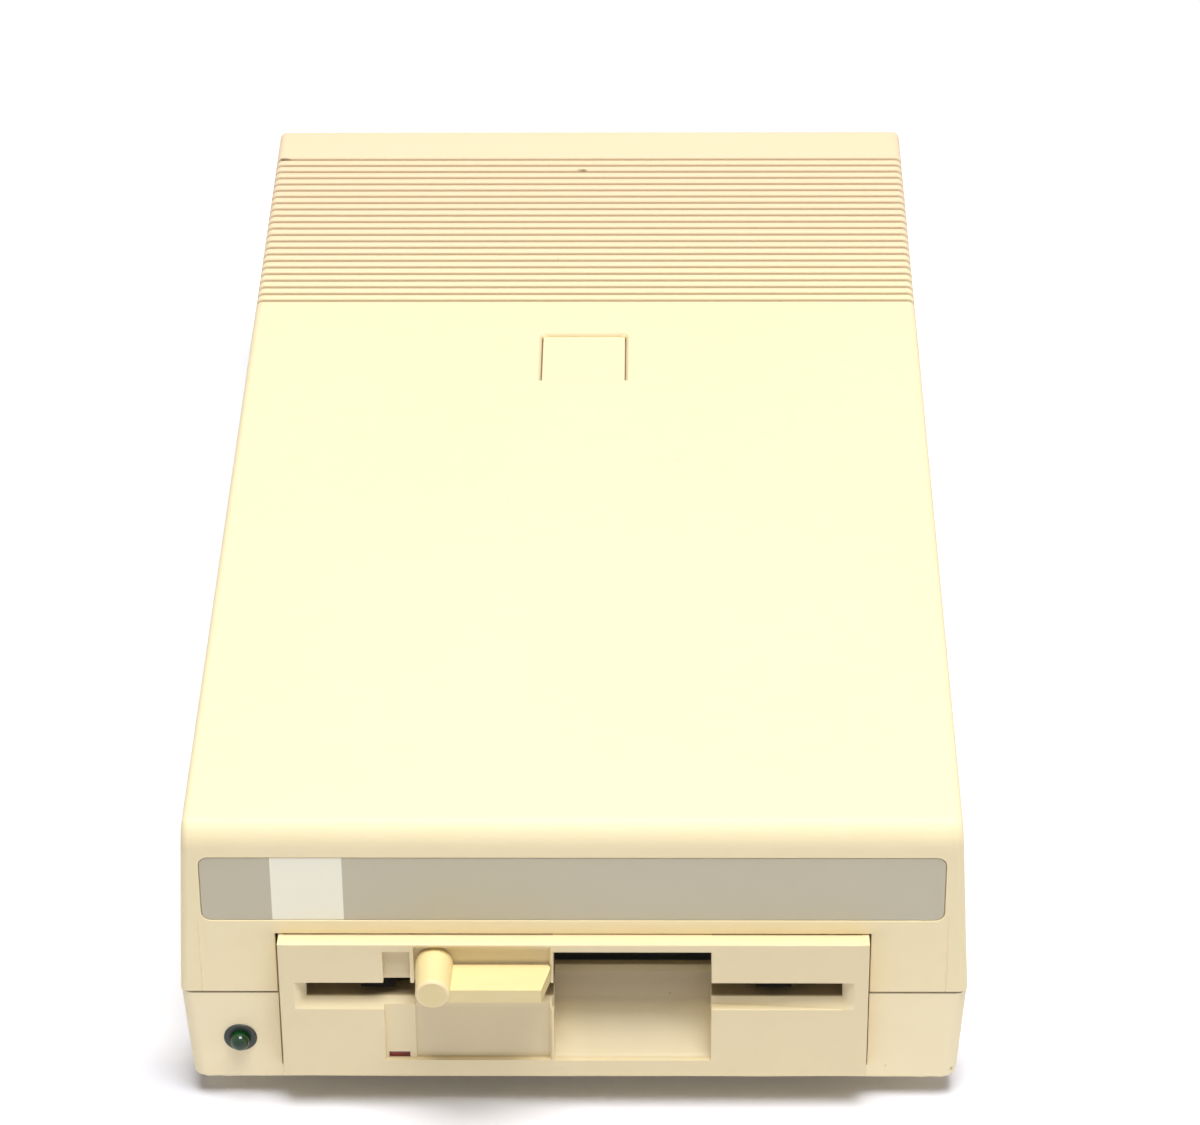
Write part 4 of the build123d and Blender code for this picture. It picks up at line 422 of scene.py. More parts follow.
panel_high = case_box("rear_panel")[1]
OPENING_HALF = 75.1
OPENING_TOP = 46.55
REAR_HALF = 78.0
REAR_TOP = 46.0
front_gap = (-OPENING_HALF, None, None), (OPENING_HALF, None, OPENING_TOP)
rear_gap = (-REAR_HALF, None, None), (REAR_HALF, None, REAR_TOP)
gone = window(cover, facing(cover, 1, -1), *front_gap)
gone += window(cover, facing(cover, 1, 1), *rear_gap)
bmesh.ops.delete(cover, geom=gone, context="FACES")


def at_rear_opening(edge):
    """True for the rim of the opening in the rear wall, but not for the cover's lower edge."""
    ends = [vert.co for vert in edge.verts]
    at_rear = all(end.y > cover_high.y - 0.01 for end in ends)
    within = all(abs(end.x) < REAR_HALF + 0.1 and end.z < REAR_TOP + 0.1 for end in ends)
    return edge.is_boundary and at_rear and within and max(end.z for end in ends) > cover_low.z + 0.1


lining = [e for e in cover.edges if at_rear_opening(e)]
inward = bmesh.ops.extrude_edge_only(cover, edges=lining)["geom"]
bmesh.ops.translate(cover, vec=(0, panel_high.y - cover_high.y, 0),
                    verts=[i for i in inward if isinstance(i, bmesh.types.BMVert)])
cover.normal_update()
bmesh.ops.solidify(cover, geom=list(cover.faces), thickness=WALL)
cover.normal_update()

RIB_PITCH = 3.97
RIB_COUNT = 23
FIRST_GROOVE = 259.5
GROOVE_WIDTH = 1.35
GROOVE_DEPTH = 1.3
RIB_ROUND = 0.42
SIDE_GROOVE = 14.0
GROOVE_END = cover_high.z - SIDE_GROOVE


def is_outer(face):
    """True for the outer faces of the shell, told from the inner ones by where they lie."""
    middle = face.calc_center_median()
    share = (middle.z - cover_low.z) / (cover_high.z - cover_low.z)
    half = cover_high.x + (TOP_WIDTH / 2 - cover_high.x) * share
    from_side = min(half - abs(middle.x), cover_high.z - middle.z)
    from_end = min(middle.y - cover_low.y, cover_high.y - middle.y)
    return min(from_side, from_end) < 0.5 * WALL and middle.z > cover_low.z + 0.01


def inward_push(place):
    """Way from a place on the top, a side, or the round between them, to the bottom of a groove."""
    x = max(abs(place.x) - (TOP_WIDTH / 2 - CORNER), 0.0)
    z = max(place.z - (cover_high.z - CORNER), 0.0)
    return Vector((-copysign(x, place.x), 0, -z)).normalized() * GROOVE_DEPTH


band = [f for f in cover.faces if is_outer(f) and abs(f.normal.y) < 0.5 and f.calc_center_median().z > 40]
band = cut(cover, band, 2, GROOVE_END)
grooves = []
for n in range(RIB_COUNT):
    middle_y = FIRST_GROOVE + n * RIB_PITCH
    low_y, high_y = middle_y - GROOVE_WIDTH / 2, middle_y + GROOVE_WIDTH / 2
    for line in (low_y, high_y):
        band = cut(cover, [f for f in band if f.is_valid], 1, line)
    grooves.append((low_y, high_y))
strips = []
for face in band:
    middle = face.calc_center_median()
    if middle.z > GROOVE_END and any(low < middle.y < high for low, high in grooves):
        strips.append(face)
sink(cover, strips, inward_push)
cover.normal_update()


def on_rib(edge):
    """True for the outer edges of the grooves."""
    ends = [vert.co for vert in edge.verts]
    across = abs(ends[0].y - ends[1].y) < 0.001 and all(end.z > GROOVE_END - 0.1 for end in ends)
    return across and any(abs(ends[0].y - side) < 0.01 for groove in grooves for side in groove)


round_off(cover, ridges(cover, on_rib, 50), RIB_ROUND, 3)

BADGE_HALF = 12.2
BADGE_REAR = 240.4
BADGE_LENGTH = 25.8
BADGE_MIDDLE = BADGE_REAR - BADGE_LENGTH / 2
BADGE_DEPTH = 1.45
BADGE_CORNER = 1.9
BADGE_RIM = 1.3
BADGE_GAP = 0.35
BADGE_GAP_DEPTH = 0.8
BADGE_STEPS = 8
tops = [(f, f.calc_center_median()) for f in facing(cover, 2, 1)]
roof = [f for f, middle in tops if middle.z > cover_high.z - 0.8 and middle.y < FIRST_GROOVE - 1.5]
recess = window(cover, roof, (-BADGE_HALF, BADGE_REAR - BADGE_LENGTH, None), (BADGE_HALF, BADGE_REAR, None))
sink(cover, recess, Vector((0, 0, -BADGE_DEPTH)))


def past_badge(place):
    """How far a place lies outside the badge recess, in plan."""
    return max(abs(place.x) - BADGE_HALF, abs(place.y - BADGE_MIDDLE) - BADGE_LENGTH / 2)


def at_rear_corner(edge):
    """True for the two upright edges at the rear corners of the badge recess."""
    first, second = (vert.co for vert in edge.verts)
    upright = abs(abs(first.z - second.z) - BADGE_DEPTH) < 0.01
    return upright and past_badge(first) < 0.1 and first.y > BADGE_REAR - 0.1


round_off(cover, [e for e in cover.edges if at_rear_corner(e)], BADGE_CORNER, BADGE_STEPS)
cover.normal_update()
tops = [(f, f.calc_center_median()) for f in facing(cover, 2, 1)]
sunk = [(f, middle) for f, middle in tops if abs(middle.z - cover_high.z + BADGE_DEPTH) < 0.01]
badge_floor = [f for f, middle in sunk if past_badge(middle) < 0]
ring = bmesh.ops.inset_region(cover, faces=badge_floor, thickness=BADGE_GAP, use_even_offset=True)
gaps = [f for f in ring["faces"] if abs(abs(f.calc_center_median().x) - BADGE_HALF) < BADGE_GAP]
sink(cover, gaps, Vector((0, 0, -BADGE_GAP_DEPTH)))


def on_badge_rim(edge):
    """True for the edges round the top of the badge recess."""
    return all(abs(v.co.z - cover_high.z) < 0.01 and past_badge(v.co) < 0.1 for v in edge.verts)


round_off(cover, ridges(cover, on_badge_rim, 50), BADGE_RIM, 5)

LABEL_CORNER = 2.5
LABEL_DEPTH = 1.0
LABEL_GAP = 0.2
label_low, label_high = case_box("label_plate")
recess_low = Vector((label_low.x - LABEL_GAP, 0, label_low.z - LABEL_GAP))
recess_high = Vector((label_high.x + LABEL_GAP, 0, label_high.z + LABEL_GAP))
front_wall = [f for f in facing(cover, 1, -1) if f.calc_center_median().y < 0.1]
recess = window(cover, front_wall, (recess_low.x, None, recess_low.z), (recess_high.x, None, recess_high.z))
sink(cover, recess, Vector((0, LABEL_DEPTH, 0)))


def at_label_corner(edge):
    """True for the four short edges that run into the label recess at its corners."""
    first, second = (vert.co for vert in edge.verts)
    deep = abs(abs(first.y - second.y) - LABEL_DEPTH) < 0.01 and abs(first.x - second.x) < 0.01
    side = min(abs(first.x - recess_low.x), abs(first.x - recess_high.x)) < 0.05
    level = min(abs(first.z - recess_low.z), abs(first.z - recess_high.z)) < 0.05
    return deep and side and level and min(first.y, second.y) < 0.01


round_off(cover, [e for e in cover.edges if at_label_corner(e)], LABEL_CORNER, 6)

MOULD_LINE = 5.6
MOULD_LINE_WIDTH = 0.35
MOULD_LINE_DEPTH = 0.18
front_wall = [f for f in facing(cover, 1, -1) if abs(f.calc_center_median().y) < 0.01]
for side in (-1, 1):
    middle_x = side * (cover_high.x - MOULD_LINE)
    for line in (middle_x - MOULD_LINE_WIDTH / 2, middle_x, middle_x + MOULD_LINE_WIDTH / 2):
        front_wall = cut(cover, [f for f in front_wall if f.is_valid], 0, line)
    for vert in {v for f in front_wall if f.is_valid for v in f.verts}:
        if abs(vert.co.x - middle_x) < 0.01 and abs(vert.co.y) < 0.01 and vert.co.z < label_low.z:
            vert.co.y += MOULD_LINE_DEPTH


def at_front_opening(edge):
    """True for the outer rim of the opening round the bezel, and for the label recess's rim."""
    ends = [vert.co for vert in edge.verts]
    flush = all(abs(end.y) < 0.01 for end in ends)
    on_side = all(abs(abs(end.x) - OPENING_HALF) < 0.01 and end.z < OPENING_TOP + 0.01 for end in ends)
    on_top = all(abs(end.z - OPENING_TOP) < 0.01 and abs(end.x) < OPENING_HALF + 0.01 for end in ends)
    in_height = all(label_low.z - 1 < end.z < label_high.z + 1 for end in ends)
    by_label = in_height and all(abs(end.x) < label_high.x + 1 for end in ends)
    return flush and (on_side or on_top or by_label)


OPENING_ROUND = 0.25
round_off(cover, ridges(cover, at_front_opening, 50), OPENING_ROUND, 2)
SEAM_WIDTH = 0.6
SEAM = cover_low.z - SEAM_WIDTH / 2


def seam_shade(x, y, z):
    """Painted shade along the seam, where the cover meets the base."""
    return between(z, SEAM - 0.35, SEAM + 0.35, 0.1) * 0.6


def case_painted_shade(x, y, z):
    """Painted shade in the grooves, on the sloping rim and in the side gaps of the badge recess, and along
    the seam.
    """
    across_groove = (y - FIRST_GROOVE) * (1 / RIB_PITCH)
    off_groove = across_groove.math("PINGPONG", across_groove, 0.5) * RIB_PITCH
    ribbed = between(y, FIRST_GROOVE - 1.2, grooves[-1][1] + 0.6, 0.1) * z.step(GROOVE_END - 0.3, GROOVE_END)
    groove_shade = (1.0 - off_groove.step(0.3, 1.35)) * ribbed * 0.36
    beside = x.math("ABSOLUTE", x) - BADGE_HALF
    along = y - BADGE_MIDDLE
    along = along.math("ABSOLUTE", along) - BADGE_LENGTH / 2
    past = beside.math("MAXIMUM", beside, along)
    in_gap = between(beside, -BADGE_GAP, 0.1, 0.08) * (1.0 - past.step(0.1, 0.3))
    gap_shade = in_gap * between(z, 77.0, cover_high.z - 0.9, 0.1) * 0.6
    sloping = 1.0 - z.step(cover_high.z - 0.25, cover_high.z - 0.02)
    rim_shade = between(past, -0.1, BADGE_RIM + 0.4, 0.1) * sloping * 0.2
    return groove_shade + gap_shade + rim_shade + seam_shade(x, y, z)


def rear_tone(x, y, z):
    """A deeper, warmer tone over the top and upper sides, growing towards the rear."""
    return y.step(225.0, 320.0) * z.step(20.0, 78.0) * 0.85


CASE_COLOUR = srgb(246, 230, 188)
CASE_AGED = srgb(241, 222, 177)
# Two small smears of dust on the ribs, and a painted shadow at the left end of the rearmost groove.
RIB_DIRT_AND_SHADOW = (((-2.0, 340.0, 80.0), 2.6, 0.7), ((57.6, 334.0, 79.6), 1.6, 0.6),
            ((-95.0, 346.84, 80.0), 4.0, 1.3))
# The cover's colour carries painted shade in its grooves, badge recess and seam.
case_plastic = moulding("case_plastic", CASE_COLOUR, CASE_AGED, roughness=0.5, shine=0.3, marks=RIB_DIRT_AND_SHADOW,
                        painted_shade=case_painted_shade, tone_shift=rear_tone)
flats(drawn(cover, "upper_case", "root", "case_plastic", case_plastic, "top_shell"))


def smoothed(node, finish, width=0.0, angle=35.0, steps=2, fit=None, join=False):
    """Copy of a CAD node with its triangles stitched together and its round faces smooth.

    With a width its corners are broken. Fit is a function that may move its points first, and join
    merges the triangles of each flat face.
    """
    source = frame["nodes"][node]
    bm = bmesh.new()
    bm.from_mesh(source.data)
    bmesh.ops.remove_doubles(bm, verts=bm.verts, dist=0.000002)
    if fit:
        for vert in bm.verts:
            vert.co = fit((vert.co - case_origin) / MM) * MM + case_origin
    if join:
        bmesh.ops.dissolve_limit(bm, angle_limit=radians(0.3), verts=bm.verts, edges=bm.edges)
    for face in bm.faces:
        face.smooth = True
    mesh = bpy.data.meshes.new(node + "_piece")
    bm.to_mesh(mesh)
    bm.free()
    mesh.materials.append(finish)
    made = bpy.data.objects.new(node + "_piece", mesh)
    bpy.context.scene.collection.objects.link(made)
    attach(made, source["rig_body"])
    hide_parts(node)
    made.data.set_sharp_from_angle(angle=radians(angle))
    if width:
        bevel = made.modifiers.new("corners", "BEVEL")
        bevel.width = width * MM
        bevel.segments = steps
        bevel.limit_method = "ANGLE"
        bevel.angle_limit = radians(angle)
    even = made.modifiers.new("flats", "WEIGHTED_NORMAL")
    even.keep_sharp = not width
    return made


BASE_DIRT = (((96.6, 1.0, 2.6), 0.7, 1.0), ((99.0, 0.2, 27.9), 1.6, 1.0))
FOOT_ROUND = 1.0
SQUARE_HALF = 95.0


def square_foot(place):
    """Fold the round under the front back on its corner, which is nearly sharp."""
    if abs(place.x) < SQUARE_HALF and place.y < FOOT_ROUND and place.z < FOOT_ROUND:
        if place.y < place.z + 0.05:
            place.y = 0.0
        if place.z < place.y + 0.05:
            place.z = 0.0
    return place


BASE_COLOUR = srgb(247, 232, 193)
BASE_AGED = srgb(242, 224, 182)
# The base's colour carries the painted shade along the seam.
base_plastic = moulding("base_plastic", BASE_COLOUR, BASE_AGED, roughness=0.5, shine=0.3, marks=BASE_DIRT,
                        painted_shade=seam_shade)
smoothed("base_shell", base_plastic, fit=square_foot, join=True)


# ---- Label plate.
# A thin aluminium strip, screen printed in a satin warm grey with one pale square near its left
# end, and stuck in the recess across the front of the cover.
SQUARE_MIDDLE = -66.5
SQUARE_WIDTH = 18.0
label_print, label_shader, label_place = material("label_print")
across = label_place.node("SeparateXYZ", {}, {"Vector": label_place}, 0)
square = across.math("COMPARE", across, SQUARE_MIDDLE * MM, SQUARE_WIDTH / 2 * MM)
print_cloud = label_place.noise(30.0, 3.0).mixed(srgb(196, 188, 163), srgb(192, 184, 159))
plug(label_shader, "Base Color", square.mixed(print_cloud, srgb(243, 239, 217)))
plug(label_shader, "Roughness", 0.36 + label_place.noise(300.0) * 0.12)
plug(label_shader, "Metallic", 0.1)
bumps(label_shader, label_place.noise(5000.0), 0.01, 0.3)
smoothed("label_plate", label_print, width=0.12)


# ---- Front bezel of the mechanism.
# A deeper tan ABS moulding that stands a little proud of the case: the disk slot with its flared
# lower lip, the scoop for finger and thumb, and the shallow pocket that the lever sweeps.
bezel_low, bezel_high = case_box("front_bezel")
face_y = bezel_low.y

# Areas of the front, each as left, right, bottom and top, and how deep they are.
FRONT = (-74.3, bezel_high.x, 4.35, 46.75)
FLARE = (-70.6, 71.05, 26.0, 34.5)
SLOT = (-67.65, 68.1, 28.5, 34.5)
CHANNEL = (-47.9, -40.05, 9.5, 34.5)
NOTCH = (-47.9, -41.1, 34.5, 44.3)
POCKET = (-40.05, -5.6, 9.5, 45.9)
SCOOP = (-4.95, 34.9, 9.5, 44.3)
LAMP_WINDOW = (-47.2, -41.8, 9.5, 11.5)
POCKET_RAMP_START = -6.2
CHANNEL_DEPTH = 1.0
POCKET_DEPTH = 1.5
NOTCH_DEPTH = 2.1
FLARE_DEPTH = 2.55
LINING_DEPTH = 9.0
LAMP_LINING = 2.0
POCKET_BREAK = 0.7
FLARE_SLOPE = (SLOT[2] - FLARE[2]) / FLARE_DEPTH
TOP_DRAFT = 1.0

# Floor of the scoop as depth and height: a slope that bends up into a leaning wall, and a chamfered ledge.
SCOOP_BEND = 6.0
SCOOP_STEPS = 8
slope_start, bend_corner, wall_top = Vector((1.6, 9.5)), Vector((12.5, 18.1)), Vector((14.1, 27.2))
towards, onwards = (bend_corner - slope_start).normalized(), (wall_top - bend_corner).normalized()
half_turn = towards.angle(onwards) / 2
bend_start = bend_corner - towards * (SCOOP_BEND * tan(half_turn))
inner = (onwards - towards).normalized() * (SCOOP_BEND / cos(half_turn))
scoop_floor = [Vector((0.0, 9.5)), slope_start]
for n in range(SCOOP_STEPS + 1):
    arm = bend_start - bend_corner - inner
    arm.rotate(Matrix.Rotation(2 * half_turn * n / SCOOP_STEPS, 2))
    scoop_floor.append(bend_corner + inner + arm)
scoop_floor += [wall_top, Vector((15.4, 28.5)), Vector((17.2, 28.5))]


def scoop_height(depth):
    """Height of the scoop's floor at a depth."""
    for low, high in zip(scoop_floor, scoop_floor[1:]):
        if depth <= high.x + 0.001:
            return low.y + (high.y - low.y) * max(depth - low.x, 0.0) / (high.x - low.x)
    return scoop_floor[-1].y


bezel = bmesh.new()
upright = Matrix.Rotation(radians(90), 4, "X")
front_middle = ((FRONT[0] + FRONT[1]) / 2, face_y, (FRONT[2] + FRONT[3]) / 2)
bmesh.ops.create_grid(bezel, x_segments=1, y_segments=1, size=0.5, matrix=upright)
bmesh.ops.scale(bezel, vec=(FRONT[1] - FRONT[0], 1, FRONT[3] - FRONT[2]), verts=bezel.verts)
bmesh.ops.translate(bezel, vec=front_middle, verts=bezel.verts)
for area in (FLARE, SLOT, CHANNEL, NOTCH, POCKET, SCOOP, LAMP_WINDOW):
    for line in area[:2]:
        cut(bezel, bezel.faces[:], 0, line)
    for line in area[2:]:
        cut(bezel, bezel.faces[:], 2, line)
cut(bezel, bezel.faces[:], 0, POCKET_RAMP_START)


def areas_at(depth, *areas):
    """Faces of the bezel that look forward at a depth and lie in any of the areas."""
    bezel.normal_update()
    found = []
    for face in facing(bezel, 1, -1):
        x, y, z = face.calc_center_median()
        if abs(y - face_y - depth) < 0.01 and any(a[0] < x < a[1] and a[2] < z < a[3] for a in areas):
            found.append(face)
    return found


# The recesses are sunk in steps: at each depth, the areas that go on down to it.
levels = [
    (CHANNEL_DEPTH, (CHANNEL, POCKET, NOTCH, FLARE, SCOOP)),
    (POCKET_DEPTH, (POCKET, NOTCH, FLARE, SCOOP)),
    (NOTCH_DEPTH, (NOTCH, FLARE, SCOOP)),
    (FLARE_DEPTH, (FLARE, SCOOP)),
]
levels += [(point.x, (SLOT, SCOOP)) for point in scoop_floor if FLARE_DEPTH < point.x < LINING_DEPTH]
levels.append((LINING_DEPTH, (SLOT, SCOOP)))
levels += [(point.x, (SCOOP,)) for point in scoop_floor if point.x > LINING_DEPTH]
deep = 0.0
for depth, areas in levels:
    sink(bezel, areas_at(deep, *areas), Vector((0, depth - deep, 0)))
    deep = depth
open_ends = set(areas_at(deep, SCOOP) + areas_at(LINING_DEPTH, SLOT))
for face in bezel.faces:
    middle = face.calc_center_median()
    if middle.y - face_y > LINING_DEPTH + 0.01 and middle.z > SLOT[2] + 0.01:
        open_ends.add(face)
bmesh.ops.delete(bezel, geom=list(open_ends), context="FACES")
ends = sink(bezel, areas_at(CHANNEL_DEPTH, LAMP_WINDOW), Vector((0, LAMP_LINING, 0)))
bmesh.ops.delete(bezel, geom=ends, context="FACES")

# The flare slopes in to the slot, the pocket's right end and top are ramps, and the scoop's floor rises.
for vert in bezel.verts:
    x, y, z = vert.co
    depth = y - face_y
    in_scoop = SCOOP[0] - 0.01 < x < SCOOP[1] + 0.01
    beside = (x < FLARE[0] + 0.01 or x > FLARE[1] - 0.01) and FLARE[2] - 0.01 < z < FLARE[3] + 0.01
    under = abs(z - FLARE[2]) < 0.01 and FLARE[0] - 0.01 < x < FLARE[1] + 0.01
    if beside and depth <= FLARE_DEPTH + 0.01:
        vert.co.y = face_y
    elif under and not in_scoop and depth <= FLARE_DEPTH + 0.01:
        ground = 0.0
        if CHANNEL[0] - 0.01 < x < CHANNEL[1] - 0.01:
            ground = CHANNEL_DEPTH
        elif POCKET[0] - 0.01 < x < POCKET_RAMP_START + 0.01:
            ground = POCKET_DEPTH
        depth = min(depth, ground)
        vert.co.y = face_y + depth
        vert.co.z = FLARE[2] + depth * FLARE_SLOPE
    elif abs(x - POCKET[1]) < 0.01 and depth < POCKET_DEPTH + 0.01 and z < POCKET[3] + 0.01:
        vert.co.y = face_y
    if abs(z - POCKET[3]) < 0.01 and POCKET[0] - 0.01 < x < POCKET_RAMP_START + 0.01:
        vert.co.z -= POCKET_BREAK * depth / POCKET_DEPTH
    if in_scoop and depth > 0.01:
        vert.co.z = max(z, scoop_height(depth))
bmesh.ops.remove_doubles(bezel, verts=bezel.verts, dist=0.001)
bmesh.ops.dissolve_degenerate(bezel, edges=bezel.edges, dist=0.001)
bezel.normal_update()


def outer_edge(edge):
    """True for the edges round the bezel's front, which are broken more than the rest."""
    ends = [vert.co for vert in edge.verts]
    sides = [(0, FRONT[0]), (0, FRONT[1]), (2, FRONT[2]), (2, FRONT[3])]
    along = any(all(abs(end[axis] - place) < 0.01 for end in ends) for axis, place in sides)
    return along and all(abs(end.y - face_y) < 0.01 for end in ends)


outline = [e for e in bezel.edges if e.is_boundary and outer_edge(e)]
skirt = bmesh.ops.extrude_edge_only(bezel, edges=outline)["geom"]
for vert in [item for item in skirt if isinstance(item, bmesh.types.BMVert)]:
    vert.co.y += LINING_DEPTH
    if vert.co.z > FRONT[3] - 0.01:
        vert.co.z -= TOP_DRAFT
bmesh.ops.recalc_face_normals(bezel, faces=bezel.faces)
if sum(f.normal.y for f in bezel.faces if abs(f.calc_center_median().y - face_y) < 0.01) > 0:
    bmesh.ops.reverse_faces(bezel, faces=bezel.faces)


def soft_edge(edge):
    """True for the edges that are broken a little: not the lamp window's, nor those at the pocket's top."""
    x, y, z = (edge.verts[0].co + edge.verts[1].co) / 2
    left, right, bottom, top = LAMP_WINDOW
    by_lamp = left - 0.1 < x < right + 0.1 and bottom - 0.3 < z < top + 0.1
    at_pocket_top = POCKET[3] - POCKET_BREAK - 0.05 < z < POCKET[3] + 0.05
    return not (by_lamp or at_pocket_top or outer_edge(edge))


RIDGE_ANGLE = 33
INNER_ROUND = 0.22
OUTER_ROUND = 0.3
round_off(bezel, ridges(bezel, soft_edge, RIDGE_ANGLE), INNER_ROUND, 2)
round_off(bezel, ridges(bezel, outer_edge, RIDGE_ANGLE), OUTER_ROUND, 3)


def bezel_painted_shade(x, y, z):
    """Painted shade: the recesses darker the deeper they are, and the scoop darkest under its ledge and a
    little darker at its foot.
    """
    depth = y - face_y
    inside = between(z, 9.0, 46.2, 0.1) * between(x, -73.0, 73.0, 0.1)
    scoop = between(x, SCOOP[0] - 0.1, SCOOP[1] + 0.1, 0.05)
    shallow = (depth.step(1.1, 1.6) * (1.0 - z.step(36.0, 42.0) * 0.7) + depth.step(1.6, 2.2)) * 0.1
    recess = shallow * (1.0 - between(z, 25.8, 34.6, 0.1) * 0.5) + depth.step(2.5, 3.5) * 0.52
    wall_shade = z.step(17.2, 20.0) * 0.36 + z.step(20.0, 25.0) * 0.12
    under_ledge = wall_shade * (1.0 - z.step(26.9, 27.5)) * depth.step(9.0, 11.0)
    foot = (1.0 - z.step(9.5, 15.0)) * depth.step(0.5, 2.0) * 0.12
    return inside * (recess * (1.0 - scoop) + (under_ledge + foot) * scoop)


BEZEL_COLOUR = srgb(234, 217, 175)
BEZEL_AGED = srgb(228, 208, 164)
BEZEL_WALL = 0.4
# The bezel's colour carries painted shade in its recesses and scoop.
bezel_plastic = moulding("bezel_plastic", BEZEL_COLOUR, BEZEL_AGED, grain=0.015, painted_shade=bezel_painted_shade)
bezel_piece = drawn(bezel, "front_bezel_piece", "root", "bezel_plastic", bezel_plastic, "front_bezel")
bezel_piece.data.set_sharp_from_angle(angle=radians(35))
wall = bezel_piece.modifiers.new("wall", "SOLIDIFY")
wall.thickness = BEZEL_WALL * MM
wall.offset = -1.0
flats(bezel_piece)


# ---- Clamp lever.
# Knob and arm are one moulding that has yellowed more than the rest. It is pressed on a steel shaft
# that turns in a bush in the bezel and carries the crank that works the clamp.
shaft_low, shaft_high = case_box("lever_shaft")
lever_low = case_box("lever")[0]
KNOB_RADIUS = 4.3


def knob_rim_highlight(x, y, z):
    """Painted highlight: a paler ring round the end of the knob, on its rounded edge."""
    aside, above = x - (shaft_low.x + shaft_high.x) / 2, z - (shaft_low.z + shaft_high.z) / 2
    radius = (aside * aside + above * above) ** 0.5
    at_end = 1.0 - y.step(lever_low.y + 0.6, lever_low.y + 1.2)
    return radius.step(KNOB_RADIUS - 1.0, KNOB_RADIUS - 0.6) * at_end * 0.5


LEVER_COLOUR = srgb(231, 212, 157)
LEVER_AGED = srgb(225, 203, 141)
# The lever's colour carries a painted highlight round the end of its knob.
lever_plastic = moulding("lever_plastic", LEVER_COLOUR, LEVER_AGED, 0.01, 0.36, tone_shift=knob_rim_highlight)
smoothed("lever", lever_plastic, width=0.3, steps=3)


# ---- Lamps.
# A green lamp in a dark turned ring beside the bezel shows power; a red window at the foot of the
# bezel's channel shows that the disk is being read.
ring_metal, ring_shader, ring_place = material("ring_metal")
plug(ring_shader, "Base Color", ring_place.noise(400.0).mixed(srgb(52, 58, 54), srgb(66, 70, 65)))
plug(ring_shader, "Metallic", 0.3)
plug(ring_shader, "Roughness", 0.35 + ring_place.noise(900.0) * 0.15)
smoothed("power_led_ring", ring_metal, width=0.12)


def lens_glow(name, deep, bright):
    """Tinted clear lens: a painted shade and a lighter tone in random patches, with a polished surface."""
    made, shader, place = material(name)
    haze = place.noise(350.0, 3.0)
    plug(shader, "Base Color", haze.step(0.35, 0.7).mixed(deep, bright))
    plug(shader, "Roughness", 0.06 + haze * 0.05)
    plug(shader, "Coat Weight", 0.15)
    plug(shader, "Coat Roughness", 0.03)
    return made


green_lens = lens_glow("green_lens", srgb(1, 42, 12), srgb(5, 65, 24))
smoothed("power_led_lens", green_lens)
red_lens = lens_glow("red_lens", srgb(111, 25, 22), srgb(134, 36, 30))
smoothed("activity_led", red_lens, width=0.12)


# ---- Slot fingers.
# Two small black nylon fingers that hang from the slot's roof and keep a disk's jacket from bowing
# up. They are clipped into the back of the bezel and stand well behind its face.
black_nylon = moulding("black_nylon", srgb(20, 15, 10), srgb(27, 21, 14), roughness=0.8, shine=0.1)


def moved_finger(place):
    """Set the right-hand finger a little nearer to the middle."""
    if place.x > 0:
        place.x -= 0.8
    return place


smoothed("slot_fingers", black_nylon, width=0.3, fit=moved_finger)


# ---- Feet and case screws.
# Four soft black rubber discs, stuck into rings under the base, and cross-head screws of zinc-plated
# steel, driven up through the base's posts into the cover.
def rubber(name, colour, bloom, roughness=0.72):
    """Soft rubber: dull, with a pale bloom where it has aged, and a fine moulded grain."""
    made, shader, place = material(name)
    aged = place.noise(70.0, 4.0).step(0.35, 0.75)
    plug(shader, "Base Color", aged.mixed(colour, bloom))
    plug(shader, "Roughness", roughness + aged * 0.15)
    plug(shader, "Specular IOR Level", 0.3)
    bumps(shader, place.noise(2600.0, 3.0), 0.03)
    return made


def metal(name, clean, dull, roughness, grain=0.006, drawn_out=(1.0, 1.0, 1.0)):
    """Bare or plated metal: some patches duller than the rest, and fine marks drawn out one way."""
    made, shader, place = material(name)
    patches = place.noise(55.0, 4.0).step(0.4, 0.7)
    marks = place.node("Mapping", {}, {"Vector": place, "Scale": drawn_out}).noise(1300.0, 3.0)
    plug(shader, "Metallic", 1.0)
    plug(shader, "Base Color", (patches * 0.7 + marks * 0.3).mixed(clean, dull))
    plug(shader, "Roughness", roughness + patches * 0.12 + marks * 0.1)
    bumps(shader, marks, grain, 0.4)
    return made


foot_rubber = rubber("foot_rubber", srgb(34, 33, 32), srgb(56, 54, 51))
smoothed("rubber_feet", foot_rubber, width=0.6, steps=3)
zinc_plate = metal("zinc_plate", srgb(204, 205, 206), srgb(180, 181, 178), 0.34)
smoothed("case_screws", zinc_plate, width=0.08)


# ---- Rear panel and mains fittings.
# A pressed steel plate, zinc plated, screwed to the frame behind the opening in the case. It holds a
# moulded mains inlet with three brass blades, a screw-in fuse holder and a rocker switch.
PANEL_GRAIN = (1.0, 0.12, 14.0)
panel_plate = metal("panel_plate", srgb(192, 192, 188), srgb(168, 167, 162), 0.42, 0.01, PANEL_GRAIN)
smoothed("rear_panel", panel_plate, width=0.15)
black_plastic = moulding("black_plastic", srgb(32, 31, 31), srgb(44, 43, 41), grain=0.03, roughness=0.4)
smoothed("inlet_housing", black_plastic, width=0.3)
smoothed("fuse_holder", black_plastic, width=0.25)
smoothed("fuse_cap", black_plastic, width=0.25)
smoothed("switch_frame", black_plastic, width=0.35, steps=3)
rocker_plastic = moulding("rocker_plastic", srgb(40, 39, 39), srgb(52, 51, 49), grain=0.015, roughness=0.3)
